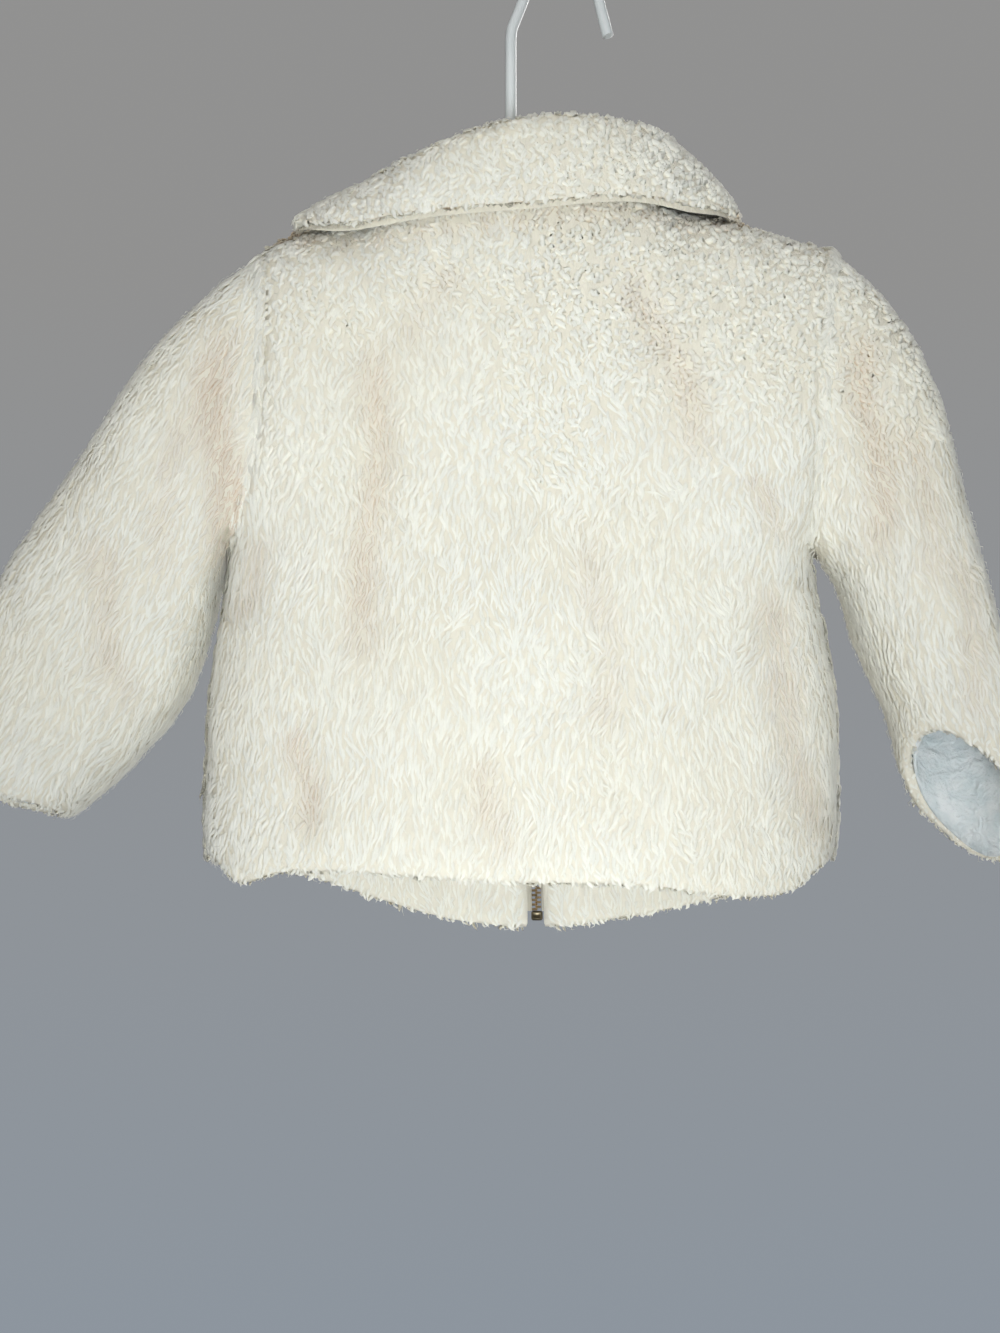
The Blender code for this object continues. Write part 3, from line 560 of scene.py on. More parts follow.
# moves a wall's outer skin in by its loose pile and lets it out to its seams, which are given back
def sinkPile(bm, outer, innerVerts, ridges, wall, sink):
    outerVerts = {v for f in outer for v in f.verts}
    moves, seams = {}, []
    for v in (v for v in bm.verts if v in outerVerts):
        beside = [e.other_vert(v) for e in v.link_edges]
        across = [o for o in beside if o in innerVerts]
        ridge = [o for o in beside if o in ridges]
        around = [f for f in v.link_faces if f in outer]
        normal = sum((f.normal * f.calc_area() for f in around), Vector()).normalized()
        if across:
            inwards = sum((f.calc_center_median() - v.co for f in around), Vector())
            meet = (inwards - inwards.dot(normal) * normal).normalized() * cloth["meet"]
            moves[v] = (across[0].co - v.co) * sink - meet
            moves[across[0]] = -meet
            seams.append((*(v.co + moves[v]), *normal))
        elif ridge:
            far = [e.other_vert(r) for r in ridge for e in r.link_edges if e.other_vert(r) in innerVerts]
            near = min(far, key=lambda o: (o.co - v.co).length) if far else None
            moves[v] = (near.co - v.co) * sink if near else Vector()
        else:
            moves[v] = -normal * wall * sink
    for v, move in moves.items():
        v.co += move
    return np.array(seams)


# a thin shell on a solid's form, with room in its wall for the fur that grows on it
def clothShell(node, wall, sink, materials, sewnTo=(), furInside=False):
    bm = solidForm(node, joined=40)
    outer, inner = skinsOf(bm, sewnTo)
    innerVerts = {v for f in inner for v in f.verts}
    skins = innerVerts | {v for f in outer for v in f.verts}
    ridges = {v for v in bm.verts if v not in skins}
    seams = sinkPile(bm, outer, innerVerts, ridges, wall, sink)
    for v in ridges:
        rims = [e.other_vert(v).co for e in v.link_edges if e.other_vert(v) in skins]
        middle = sum(rims, Vector()) / len(rims)
        down = v.co - middle
        v.co = middle + down.normalized() * min(down.length, cloth["roll"])
    rimPlaces = [tuple(v.co) for v in ridges]
    low = treeOf([p for p in rimPlaces if p[2] < cloth["hemBelow"]]) if furInside else None
    crease = bm.edges.layers.float.new("crease_edge")
    for face in bm.faces:
        turned = any(v in ridges for v in face.verts) and node != "under_collar"
        inside = furInside and face in inner and low.find(face.calc_center_median())[2] < cloth["turnUp"]
        furred = face in outer or turned or inside
        face.material_index = 0 if furred else 1 if face in inner else 2
    for edge in bm.edges:
        if len(edge.link_faces) == 2 and edge.calc_face_angle(0) > cloth["creaseAngle"]:
            edge[crease] = cloth["rimCrease"] if any(v in ridges for v in edge.verts) else 1.0
    item = fromBmesh(node + "_cloth", bm, materials)
    rounding = item.modifiers.new("rounding", "SUBSURF")
    rounding.levels = rounding.render_levels = 1
    old, graph = item.data, bpy.context.evaluated_depsgraph_get()
    result = item.evaluated_get(graph)
    mesh = bpy.data.meshes.new_from_object(result, preserve_all_data_layers=True, depsgraph=graph)
    item.modifiers.clear()
    item.data = mesh
    bpy.data.meshes.remove(old)
    points, normals = pointsOf(mesh), readAll(mesh.vertices, "normal", 3)
    if wall > cloth["puffWall"]:
        points += normals * (cloth["puff"] * slowNoise(points, cloth["puffSize"], 8))[:, None]
    if furInside and node != "back":
        points[:, 1] = overTapes(points, normals)
    points[:, 1] -= foldDepth(points, creases.get(node, ()))
    mesh.vertices.foreach_set("co", points.ravel())
    mesh.update()
    mesh.shade_smooth()
    mesh.set_sharp_from_angle(angle=cloth["sharpAngle"])
    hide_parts(node)
    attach(item, body)
    return {"item": item, "seams": seams, "rims": np.array(rimPlaces)}


locks = {  # fine wavy locks that lie on the pile
    "spacing": {"back": 0.00252, "sleeve": 0.00258, "front": 0.00285, "collar": 0.00232},
    "rings": (0.0, 0.35, 0.72), "girth": (0.45, 1.0, 0.78),
    "height": 0.0021, "length": 0.0098, "width": 0.0023, "flat": 0.48, "rounded": 0.32, "outline": 0.70,
    "wave": 0.0011, "tuft": 0.0046, "gather": 0.50, "bury": 0.0004,
    "curlWide": 1.15, "curlRound": 0.30, "curlThin": 0.15,
}
nap = {  # short fur at the edge of the ply under the collar
    "spacing": {"edge": 0.00150}, "rings": (0.0, 0.35, 0.72), "girth": (0.78, 1.0, 0.72),
    "height": 0.0012, "length": 0.0038, "width": 0.0010, "flat": 0.55, "rounded": 0.25, "outline": 0.3,
    "wave": 0.0005, "tuft": 0.0030, "gather": 0.40, "bury": 0.0,
    "curlWide": 0.1, "curlRound": 0.0, "curlThin": 0.0,
}
fuzz = {  # loose hairs that stand out of it
    "spacing": {"back": 0.0046, "sleeve": 0.0043, "front": 0.0052, "collar": 0.0040},
    "rings": (0.0, 0.5), "girth": (0.85, 0.6),
    "height": 0.0036, "length": 0.0052, "width": 0.00056, "flat": 0.9, "rounded": 0.4, "outline": 0.2,
    "wave": 0.0012, "tuft": 0.0046, "gather": 0.25, "bury": 0.0,
    "curlWide": 0.1, "curlRound": 0.0, "curlThin": 0.0,
}
growth = {  # bends of every strand, as ranges, or as a start and what a full curl adds to it
    "stray": (0.14, 0.50), "swirl": 0.40, "swirlSize": 55, "rimRoom": (0.0012, 0.50),
    "longer": (0.78, 1.22), "higher": (0.75, 1.15), "wider": (0.70, 1.30), "gathered": (0.5, 1.25),
    "waves": (0.5, 1.0), "waveLimit": 0.28, "turns": (0.80, 0.30), "turnsVary": 0.15,
    "curlShort": 0.58, "curlHigh": 0.30, "curlWave": 0.6, "curlLoose": 0.6, "curlFlat": 0.45,
    # painted shade on the locks' sides: its patches, where it starts, more in curls and in creases
    "patchy": 0.40, "patchSize": 14, "patchFrom": 0.55, "patchCurl": 0.35, "deepHollow": 0.8,
    "forward": ((0.30, 0.70), (0.80, 0.20)),  # straight and curled: parts of the way along and of its square
    "upward": (2.2, -0.7), "overturn": (0.35, 0.40), "swing": (0.35, 0.65), "gatherTip": 1.6, "pullLow": 0.6,
    "drift": (0.10, 9), "sleeveDown": 0.35, "longVary": (0.18, 30), "highVary": (0.22, 75), "tries": 5,
}
seamFur = {  # steps, lift and scatter of the fur over a seam, whose locks lean, lie low and straighten
    "step": 0.0007, "lift": 0.0008, "stray": 0.0006, "lean": 0.6, "next": 4, "beside": 14,
    "low": 0.85, "lowReach": 0.006, "straight": 0.40, "straightReach": 0.011,
}
zipFur = {  # no roots within the first width of the zip, and no fur within the second
    "room": {"front_left": (0.0058, 0.0034), "front_right": (0.0048, 0.0034),
             "collar": (0.0068, 0.0043), "under_collar": (0.0060, 0.0043)},
    "press": 0.0026, "reach": 0.013, "fade": 0.007, "brush": 0.9,
}
curls = {  # where they begin, going up and to the right, and over how far
    "foot": -0.335, "rise": 0.13, "side": -0.09, "across": 0.12, "left": 0.45,
    "patchy": 0.25, "patchSize": 22,
}
# painted tan shade: by each crease's depth, in patches, and as painted shadow along the ply under the collar
shadowTint = {
    "deep": 0.0030, "share": 0.66, "patchy": 0.14, "patchSize": 40, "least": 0.0006,
    "tuck": 0.95, "tuckPatchy": 0.25, "tuckSize": 60,
}
sleeveAxis = {"sleeve_left": (-0.533, 0.0, -0.846), "sleeve_right": (0.31, 0.0, -0.95)}


# triangles of a mesh's kept faces, with its points and smooth normals
def skinData(mesh, keep):
    mesh.calc_loop_triangles()
    owner = readAll(mesh.loop_triangles, "polygon_index", kind=int)
    corners = readAll(mesh.loop_triangles, "vertices", 3, int)[keep[owner]]
    points = pointsOf(mesh)
    a, b, c = (points[corners[:, k]] for k in range(3))
    faceNormals = np.cross(b - a, c - a)
    normals = np.zeros_like(points)
    for k in range(3):
        np.add.at(normals, corners[:, k], faceNormals)
    return points, unit(normals), corners, np.linalg.norm(faceNormals, axis=1) / 2


# places taken in the given order, each at least the gap away from those before it
def thinned(places, gap, order):
    tree = treeOf(places)
    covered = np.zeros(len(places), bool)
    kept = []
    for i in order:
        if not covered[i]:
            kept.append(i)
            for _, j, _ in tree.find_range(places[i], gap):
                covered[j] = True
    return kept


# evenly spaced random roots on a mesh's kept faces: places and normals
def scatter(mesh, keep, gap, seed):
    points, normals, corners, areas = skinData(mesh, keep)
    random = np.random.RandomState(seed)
    count = int(areas.sum() / gap**2 * growth["tries"])
    chosen = np.searchsorted(np.cumsum(areas) / areas.sum(), random.rand(count))
    chosen = np.minimum(chosen, len(areas) - 1)
    u, v = random.rand(2, count)
    root = np.sqrt(u)
    weights = np.stack((1 - root, root * (1 - v), root * v), axis=1)[:, :, None]
    places = (points[corners[chosen]] * weights).sum(1)
    outward = unit((normals[corners[chosen]] * weights).sum(1))
    kept = thinned(places, gap, range(count))
    return places[kept], outward[kept]


def nearestGap(places, marks):
    if not len(marks):
        return np.full(len(places), 1.0)
    tree = treeOf(marks[:, :3])
    return np.array([tree.find(p)[2] for p in places])


# fur is pressed back from the middle of the zip, less the further off it is
def clearOfZip(verts, clear):
    points = verts.reshape(-1, 3)
    side = np.repeat(np.sign(offZip(verts[:, 0])), verts.shape[1])
    off = offZip(points) * side
    edge = clear + zipFur["press"]
    pressed = clear + zipFur["press"] * np.exp(np.minimum(off - edge, 0.0) / zipFur["press"])
    move = np.where((off < edge) & (points[:, 1] > 0), (pressed - off) * side, 0.0)
    return (points + move[:, None] * (1.0, 0.0, 0.0)).reshape(verts.shape)


# faces of one three-sided tapered tube, their places on its own map, and whether they lie under it
def tubeFaces(levels):
    tip = len(levels) * 3
    faces, coords, under = [(0, 2, 1)], [((0, 0), (0.66, 0), (0.33, 0))], [True]
    for r, low in enumerate(levels):
        for k in range(3):
            a, b, left, right = r * 3 + k, r * 3 + (k + 1) % 3, k / 3, (k + 1) / 3
            if a + 3 < tip:
                high = levels[r + 1]
                faces += [(a, b, b + 3), (a, b + 3, a + 3)]
                coords.append(((left, low), (right, low), (right, high)))
                coords.append(((left, low), (right, high), (left, high)))
                under += [k == 1] * 2
            else:
                faces.append((a, b, tip))
                coords.append(((left, low), (right, low), ((left + right) / 2, 1)))
                under.append(k == 1)
    return np.array(faces), np.array(coords), np.array(under)


# one joined mesh of closed tubes that follow their own paths
def strandMesh(name, frames, path, width, curl, marks, style, clear):
    count = len(path)
    rings = len(style["rings"])
    tangent = unit(np.gradient(path, axis=1))
    aside = unit(np.cross(tangent, frames[:, None, :]))
    upward = np.cross(aside, tangent)
    girth = np.array(style["girth"])[None, :, None, None] * width[:, None, None, None] / 2
    turns = np.radians((90, 210, 330))[None, None, :, None]
    flat = (style["flat"] * (1 + growth["curlFlat"] * curl))[:, None, None, None]
    ring = np.cos(turns) * aside[:, :rings, None] + np.sin(turns) * flat * upward[:, :rings, None]
    tube = path[:, :rings, None] + ring * girth
    verts = np.concatenate((tube.reshape(count, -1, 3), path[:, -1:]), axis=1)
    if clear:
        verts = clearOfZip(verts, clear)
    around = unit(ring)
    rounded = (style["rounded"] + style["curlRound"] * curl)[:, None, None, None]
    softly = unit(rounded * around + (1 - rounded) * frames[:, None, None])
    softly = np.concatenate((softly.reshape(count, -1, 3), frames[:, None]), axis=1)
    around = np.concatenate((around.reshape(count, -1, 3), -frames[:, None]), axis=1)
    faces, coords, under = tubeFaces(style["rings"])
    sample = verts[0] - verts[0].mean(0)
    volume = (np.cross(sample[faces[:, 0]], sample[faces[:, 1]]) * sample[faces[:, 2]]).sum()
    order = (0, 1, 2) if volume > 0 else (0, 2, 1)
    faces, coords = faces[:, order], coords[:, order]
    each = rings * 3 + 1
    allFaces = (faces[None] + (np.arange(count) * each)[:, None, None]).ravel()
    mesh = bpy.data.meshes.new(name)
    mesh.vertices.add(count * each)
    mesh.vertices.foreach_set("co", verts.ravel())
    mesh.loops.add(len(allFaces))
    mesh.loops.foreach_set("vertex_index", allFaces)
    mesh.polygons.add(len(allFaces) // 3)
    mesh.polygons.foreach_set("loop_start", np.arange(0, len(allFaces), 3))
    mesh.polygons.foreach_set("use_smooth", np.ones(len(allFaces) // 3, bool))
    mesh.update(calc_edges=True)
    mesh.uv_layers.new(name="lock").data.foreach_set("uv", np.tile(coords.ravel(), count))
    for label, values in marks.items():
        mesh.attributes.new(label, "FLOAT", "POINT").data.foreach_set("value", np.repeat(values, each))
    mesh.validate()
    facing = np.where(under[None, :, None, None], around[:, faces], softly[:, faces])
    mesh.normals_split_custom_set(facing.reshape(-1, 3))
    return finished(addObject(name, mesh, [fur]), None)


# the way each tip has to go to the hub of its tuft
def toHub(tips, places, size, seed):
    hubs = thinned(places, size, np.random.RandomState(seed).permutation(len(places)))
    tree = treeOf(places[hubs])
    hub = np.array([hubs[tree.find(p)[1]] for p in places])
    return tips[hub] - tips


# strands on their roots: comb is the way they are brushed, curl from 0 to 1
def growStrands(name, places, normals, lie, style, seed, clear):
    random = np.random.RandomState(seed)
    count = len(places)
    curl = lie["curl"]
    stray = random.normal(0, 1, (count, 3)) * (growth["stray"][0] + growth["stray"][1] * curl[:, None])
    swirl = np.stack([slowNoise(places, growth["swirlSize"], seed + k) for k in range(3)], axis=1)
    way = lie["comb"] + stray + swirl * growth["swirl"]
    way = unit(way - (way * normals).sum(1, keepdims=True) * normals)
    aside = np.cross(normals, way)
    t = np.array(style["rings"] + (1.0,))[None, :]
    long = style["length"] * lie["long"] * (1 - growth["curlShort"] * curl)
    long = np.minimum(long, growth["rimRoom"][0] + growth["rimRoom"][1] * lie["toRim"])
    reach = (long * random.uniform(*growth["longer"], count))[:, None]
    high = style["height"] * lie["high"] * (1 + growth["curlHigh"] * curl)
    rise = (high * random.uniform(*growth["higher"], count))[:, None]
    wave = random.uniform(*growth["waves"], count) * style["wave"] * (1 + growth["curlWave"] * curl)
    wave = np.minimum(wave, growth["waveLimit"] * long)[:, None]
    phase = random.uniform(0, 2 * math.pi, count)[:, None]
    vary = random.uniform(-growth["turnsVary"], growth["turnsVary"], count)
    turns = (growth["turns"][0] + growth["turns"][1] * curl + vary)[:, None]
    swing = wave * np.sin(2 * math.pi * turns * t + phase)
    lift = curl[:, None]
    # a straight lock leans on and lies down to its tip, a curl rises at once and turns over
    forward = reach * mixed(*(a * t + b * t**2 for a, b in growth["forward"]), lift)
    bend, over = (a + b * lift for a, b in (growth["upward"], growth["overturn"]))
    upward = rise * (1 - (1 - t) ** bend) * (1 - over * t**2) - style["bury"]
    swing = swing * (growth["swing"][0] + growth["swing"][1] * t)
    path = (places[:, None] + way[:, None] * forward[..., None] + normals[:, None] * upward[..., None]
            + aside[:, None] * swing[..., None])
    pull = toHub(path[:, -1], places, style["tuft"], seed + 9)
    pull -= (pull * normals).sum(1, keepdims=True) * normals * growth["pullLow"]
    share = style["gather"] * random.uniform(*growth["gathered"], count) * (1 - growth["curlLoose"] * curl)
    path += (pull * share[:, None])[:, None] * (t ** growth["gatherTip"])[..., None]
    width = style["width"] * random.uniform(*growth["wider"], count) * (1 + style["curlWide"] * curl)
    # how dark each lock's sides are painted: shade between locks, uneven, more in curls and creases
    patchy = growth["patchFrom"] + growth["patchy"] * slowNoise(places, growth["patchSize"], 5)
    patchy = patchy + growth["patchCurl"] * curl
    depth = np.clip(style["outline"] * patchy + growth["deepHollow"] * lie["paintedShade"], 0.05, 1.0)
    marks = {"tint": random.rand(count), "paintedShade": lie["paintedShade"], "depth": depth}
    return strandMesh(name, normals, path, width, curl, marks, style, clear)


# the fur is in curls towards the right shoulder and in long locks low down and to the left
def curlAt(places, curlBy):
    high = ease((places[:, 2] - curls["foot"]) / curls["rise"])
    right = ease((places[:, 0] - curls["side"]) / curls["across"])
    patchy = curls["patchy"] * slowNoise(places, curls["patchSize"], 4)
    return np.clip((high * mixed(curls["left"], 1.0, right) + patchy) * curlBy, 0.0, 1.0)


# how the fur lies at each place, and its painted tan shade in the creases and under the collar's edge
def lieOf(node, places, away, shell, curlBy, height):
    count = len(places)
    toSeam = nearestGap(places, shell["seams"])
    straight = mixed(seamFur["straight"], 1.0, ease(toSeam / seamFur["straightReach"]))
    (drift, driftSize), (longVary, longSize), (highVary, highSize) = (
        growth[key] for key in ("drift", "longVary", "highVary"))
    comb = np.stack((drift * slowNoise(places, driftSize, 2), np.zeros(count), -np.ones(count)), axis=1)
    if node in sleeveAxis:
        comb = comb * growth["sleeveDown"] + np.array(sleeveAxis[node])[None]
    # painted shade in the creases, darker where they are deeper
    deep = np.abs(foldDepth(places, [row for row in creases.get(node, ()) if row[-1] > 0]))
    patchy = shadowTint["patchy"] * slowNoise(places, shadowTint["patchSize"], 6) * (deep > shadowTint["least"])
    paintedShade = np.clip(deep / shadowTint["deep"] * shadowTint["share"] + patchy, 0, 1.0)
    # painted shadow along the ply under the collar
    if node in cloth["tuck"]:
        tucked = ease(1 - nearestGap(places, shells["under_collar"]["rims"]) / cloth["tuck"][node])
        tuckNoise = shadowTint["tuckPatchy"] * slowNoise(places, shadowTint["tuckSize"], 9)
        tucked = tucked * (shadowTint["tuck"] + tuckNoise)
        paintedShade = np.maximum(paintedShade, tucked).clip(0, 1)
    low = mixed(seamFur["low"], 1.0, ease(toSeam / seamFur["lowReach"]))
    return {
        "comb": comb + away, "curl": curlAt(places, curlBy) * straight,
        "long": 1 + longVary * slowNoise(places, longSize, 3),
        "high": height * (1 + highVary * slowNoise(places, highSize, 7)) * low,
        "toRim": nearestGap(places, shell["rims"]), "paintedShade": paintedShade,
    }


# roots in the furrow where two panels meet
def seamRoots(seams, seed):
    random = np.random.RandomState(seed)
    tree = treeOf(seams[:, :3])
    places, normals = [], []
    for seam in seams:
        for _, j, far in tree.find_n(seam[:3], seamFur["next"])[1:]:
            for _ in range(max(1, int(far / seamFur["step"] / 2 + random.rand()))):
                place, out = np.split(mixed(seam, seams[j], random.rand()), 2)
                places.append(place + random.normal(0, seamFur["stray"], 3) + out * seamFur["lift"])
                normals.append(out)
    return np.array(places), unit(np.array(normals))


# a panel's normals turn near its seams to the way outward that it shares with its neighbours
def easeOverSeams(places, normals, seams):
    if not len(seams):
        return normals
    every = np.concatenate([s["seams"] for s in shells.values() if len(s["seams"])])
    everyTree, tree = treeOf(every[:, :3]), treeOf(seams[:, :3])
    shared = unit(np.array([
        np.mean([every[j][3:] for _, j, _ in everyTree.find_range(seam[:3], cloth["shared"])], axis=0)
        for seam in seams]))
    out = normals.copy()
    for i, place in enumerate(places):
        _, j, far = tree.find(place)
        if far < cloth["seamEase"]:
            out[i] = mixed(shared[j], normals[i], ease(far / cloth["seamEase"]))
    return unit(out)


# the way out of a panel at its seam's roots, so that locks lean over the seam by uneven amounts
def outOf(places, roots, seed):
    tree = treeOf(places)
    middles = np.array([
        np.mean([near[0] for near in tree.find_n(root, seamFur["beside"])], axis=0) for root in roots])
    lean = np.random.RandomState(seed).uniform(0.0, seamFur["lean"], (len(roots), 1))
    return unit(roots - middles) * lean


# fur beside the zip is brushed off its teeth
def awayFromZip(places):
    off = offZip(places)
    share = ease((zipFur["reach"] - np.abs(off)) / zipFur["fade"]) * (places[:, 1] > 0)
    return (np.sign(off) * share * zipFur["brush"])[:, None] * (1.0, 0.0, 0.0)


shells, furs = {}, {}


# the fur of one shell, in parts by height that stay under the limit
def dress(node, sort, seed, parts=1, height=1.0, curlBy=1.0, nearRim=None,
          kinds=((locks, "fur"), (fuzz, "fuzz"))):
    shell = shells[node]
    mesh = shell["item"].data
    furred = readAll(mesh.polygons, "material_index", kind=int) == 0
    furs[node] = []
    for style, word in kinds:
        places, normals = scatter(mesh, furred, style["spacing"][sort], seed)
        if nearRim:
            kept = nearestGap(places, shell["rims"]) < nearRim
            places, normals = places[kept], normals[kept]
        kept = np.random.RandomState(seed + 5).rand(len(places)) > style["curlThin"] * curlAt(places, curlBy)
        places, normals = places[kept], normals[kept]
        away = np.zeros_like(places)
        if word == "fur" and len(shell["seams"]):
            more, outward = seamRoots(shell["seams"], seed)
            away = np.concatenate((away, outOf(places, more, seed)))
            places, normals = np.concatenate((places, more)), np.concatenate((normals, outward))
        bare, clear = zipFur["room"].get(node, (0, 0))
        if bare:
            kept = (np.abs(offZip(places)) > bare) | (places[:, 1] < 0)
            places, normals, away = places[kept], normals[kept], away[kept]
            away = away + awayFromZip(places)
        normals = easeOverSeams(places, normals, shell["seams"])
        order = np.argsort(-places[:, 2], kind="stable")
        shares = np.array_split(order, parts if word == "fur" else 1)
        for k, part in enumerate(shares):
            name = f"{node}_{word}" + (f"_{k + 1}" if len(shares) > 1 else "")
            lie = lieOf(node, places[part], away[part], shell, curlBy, height)
            grown = growStrands(name, places[part], normals[part], lie, style, seed + 20 + k, clear)
            furs[node].append(grown)


zipper = {
    "pitch": 0.0025, "reach": 0.0030, "tall": 0.00108, "thick": 0.0023, "over": 0.00055, "edge": 0.00018,
}
stitches = {
    "gap": 0.0030, "size": (0.00045, 0.000315, 0.0017), "lift": 0.00045, "edge": 0.00012,
    "off": 0.0088, "top": -0.205,  # from the zip's middle line, and up to where the tapes show
}
slider = {
    "body": (0.0080, 0.0046, 0.0090), "plate": 0.00115, "waist": 0.72, "edge": 0.00025,
    "lip": 0.0007, "lipLong": 0.52, "lipLow": 0.22, "lipIn": 0.72,  # turned-in sides, as shares of the body
    "post": (0.0020, 0.0026), "postUp": 0.28, "postDeep": 0.8,
    "lugHalf": 0.0008, "lugRadius": 0.0020, "lugReach": 0.0030, "lugSunk": 0.0008, "lugSides": 20,
}
castings = {  # name, finish, eased edge, least face that is sunk, its rim and depth, what carries the piece
    "zip_box": ("zip_box_body", darkBrass, 0.00015, 8e-6, 0.0007, 0.0003, body),
    "zip_pull": ("zip_pull_tab", brass, 0.00018, 4e-5, 0.0009, 0.0002, "pull_tab"),
}


# even steps along a line: each one's place, with the ways across, outward and along
def stepsAlong(line, gap, start=0.0):
    lengths = np.linalg.norm(np.diff(line, axis=0), axis=1)
    total = np.concatenate(((0.0,), np.cumsum(lengths)))
    at = np.arange(start, total[-1] - gap / 4, gap)
    places, ahead, behind = (
        np.stack([np.interp(at + step, total, line[:, k]) for k in range(3)], axis=1)
        for step in (0.0, gap, -gap))
    along = unit(ahead - behind)
    outward = unit(np.array((0, 1.0, 0)) - along[:, 1:2] * along)
    return zip(places, np.stack((np.cross(outward, along), outward, along), axis=1))


def addBlock(bm, place, size, axes=((1, 0, 0), (0, 1, 0), (0, 0, 1))):
    turn = Matrix([Vector(axis) * length for axis, length in zip(axes, size)]).transposed()
    matrix = Matrix.Translation(Vector(place)) @ turn.to_4x4()
    return bmesh.ops.create_cube(bm, size=1, matrix=matrix)["verts"]


def bevelled(bm, edges, width, segments=1):
    bmesh.ops.bevel(
        bm, geom=list(edges), offset=width, segments=segments, profile=0.5, affect="EDGES", material=-1)


def finished(item, node, rider=body):
    if node:
        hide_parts(node)
    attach(item, rider)
    return item


# two columns of teeth that reach past each other at the middle
def makeTeeth():
    bm = bmesh.new()
    line = middleOf("zip_teeth")
    steps = stepsAlong(line, zipper["pitch"] / 2, zipper["tall"] / 2)
    size = (zipper["reach"], zipper["thick"], zipper["tall"])
    for i, (place, axes) in enumerate(steps):
        side = 1 if i % 2 else -1
        middle = place + axes[0] * side * (zipper["reach"] / 2 - zipper["over"])
        addBlock(bm, middle, size, axes)
    bevelled(bm, bm.edges, zipper["edge"])
    return finished(fromBmesh("zip_teeth_closed", bm, [brass], sharp=30), "zip_teeth")


# a row of machine stitches down each tape
def makeStitches():
    bm = bmesh.new()
    for word, side in (("left", -1), ("right", 1)):
        line, tapeLine = middleOf("zip_teeth"), middleOf("zip_tape_" + word)
        line[:, 1] = np.interp(line[:, 2], tapeLine[:, 2], tapeLine[:, 1] - stitches["lift"])
        line[:, 0] += side * stitches["off"]
        for place, axes in stepsAlong(line, stitches["gap"], stitches["gap"]):
            if place[2] < stitches["top"]:
                addBlock(bm, place, stitches["size"], axes)
    upright = [e for e in bm.edges if abs((e.verts[0].co - e.verts[1].co).z) > stitches["size"][2] / 2]
    bevelled(bm, upright, stitches["edge"])
    return finished(fromBmesh("zip_stitches", bm, [thread], sharp=30), None)


# two plates on a post, turned in at their sides, with a lug for the pull tab
def makeSlider():
    points = pointsOf(nodes["zip_slider"].data)
    low, high = Vector(points.min(0)), Vector(points.max(0))
    wide, deep, tall = slider["body"]
    middle = Vector(((low.x + high.x) / 2, low.y + deep / 2, (low.z + high.z) / 2))
    bm = bmesh.new()
    for side in (-1, 1):
        offset = Vector((0, side * (deep - slider["plate"]) / 2, 0))
        for v in addBlock(bm, middle + offset, (wide, slider["plate"], tall)):
            if v.co.z < middle.z:
                v.co.x = middle.x + (v.co.x - middle.x) * slider["waist"]
        for turn in (-1, 1):
            aside = turn * (wide * slider["waist"] - slider["lip"]) / 2
            lip = Vector((aside, offset.y * slider["lipIn"], -tall * slider["lipLow"]))
            addBlock(bm, middle + lip, (slider["lip"], slider["plate"], tall * slider["lipLong"]))
    postWide, postTall = slider["post"]
    post = middle + Vector((0, 0, tall * slider["postUp"]))
    addBlock(bm, post, (postWide, deep * slider["postDeep"], postTall))
    bevelled(bm, bm.edges, slider["edge"], 2)
    reach = deep / 2 + slider["lugReach"]
    eye = bmesh.ops.create_circle(
        bm, cap_ends=True, segments=slider["lugSides"], radius=slider["lugRadius"],
        matrix=Matrix.Rotation(math.radians(90), 4, "Y"))["verts"]
    for v in eye:
        v.co.y = v.co.y + reach if v.co.y > 0 else deep / 2 - slider["lugSunk"]
        v.co = v.co + middle - Vector((slider["lugHalf"], 0, 0))
    face = next(f for f in bm.faces if len(f.verts) == slider["lugSides"])
    pushed = bmesh.ops.extrude_face_region(bm, geom=[face])["geom"]
    moved = [g for g in pushed if isinstance(g, bmesh.types.BMVert)]
    bmesh.ops.translate(bm, verts=moved, vec=(2 * slider["lugHalf"], 0, 0))
    bmesh.ops.recalc_face_normals(bm, faces=bm.faces)
    return finished(fromBmesh("zip_slider_body", bm, [brass], sharp=30), "zip_slider")


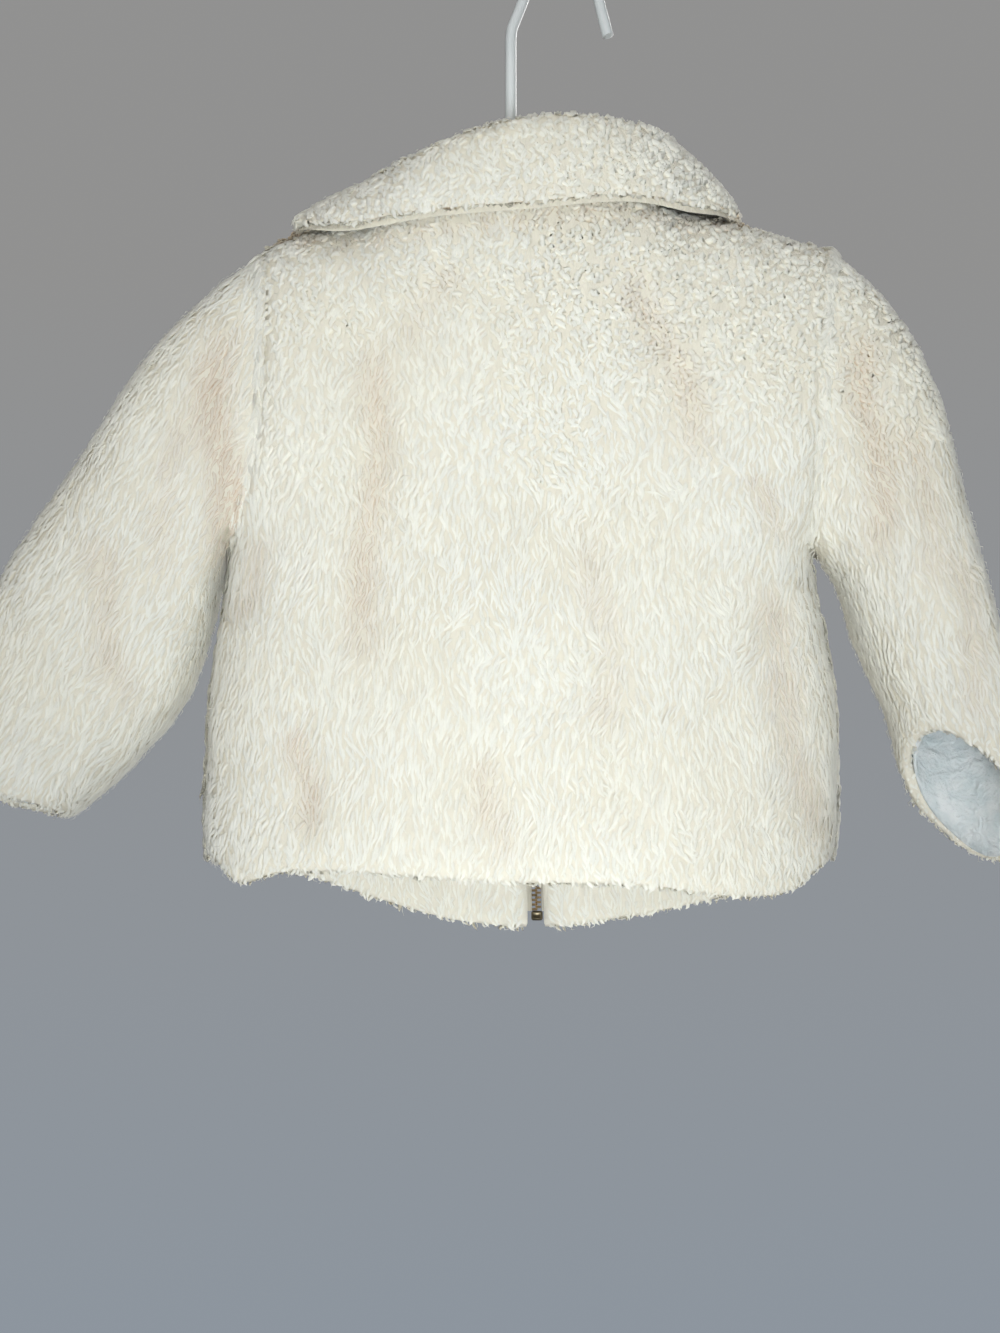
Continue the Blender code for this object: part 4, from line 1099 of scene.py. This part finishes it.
# a solid's own form with its edges eased, and its large faces sunk a little inside raised rims
def makeCasting(node, name, finish, edge, least, rim, depth, rider):
    bm = solidForm(node)
    bmesh.ops.dissolve_limit(bm, angle_limit=math.radians(1.5), verts=bm.verts, edges=bm.edges)
    bevelled(bm, [e for e in bm.edges if e.calc_face_angle(0) > math.radians(40)], edge, 2)
    flat = [f for f in bm.faces if abs(f.normal.y) > 0.95 and f.calc_area() > least]
    bmesh.ops.inset_individual(bm, faces=flat, thickness=rim, depth=-depth)
    return finished(fromBmesh(name, bm, [finish], sharp=30), node, rider)


# the hanger's rods, smoothed round
def makeRod(node):
    item = fromBmesh(node + "_rod", solidForm(node, joined=30), [plastic], sharp=50)
    return finished(item, node)


makeRoom()

panels = ("back", "front_left", "front_right")
wall, sink, furred = cloth["wall"], cloth["sink"], [ground, knit, ground]
for node in panels:
    shells[node] = clothShell(node, wall["coat"], sink, furred, furInside=True)
for node in sleeveAxis:
    shells[node] = clothShell(node, wall["coat"], sink, furred, panels)
shells["collar"] = clothShell("collar", wall["collar"], sink, furred)
shells["under_collar"] = clothShell("under_collar", wall["under_collar"], cloth["underSink"], furred)
for word in ("left", "right"):
    for kind, finish in (("sleeve_lining", lining), ("zip_tape", tape)):
        shells[f"{kind}_{word}"] = clothShell(f"{kind}_{word}", wall[kind], 0.0, [finish] * 3)
print("cloth ready:", sum(len(s["item"].data.polygons) for s in shells.values()), "faces")

dress("back", "back", 11, parts=2)
dress("sleeve_left", "sleeve", 12, curlBy=0.35)
dress("sleeve_right", "sleeve", 13, curlBy=0.9)
dress("front_left", "front", 14)
dress("front_right", "front", 15)
dress("collar", "collar", 16, height=0.80)
dress("under_collar", "edge", 17, kinds=((nap, "nap"),), nearRim=cloth["strip"])
print("fur ready:", sum(len(item.data.polygons) for made in furs.values() for item in made), "triangles")

makeTeeth()
makeStitches()
makeSlider()
for node, casting in castings.items():
    makeCasting(node, *casting)
makeRod("hanger_hook")
arms = makeRod("hanger_arms")
print("zip and hanger ready")
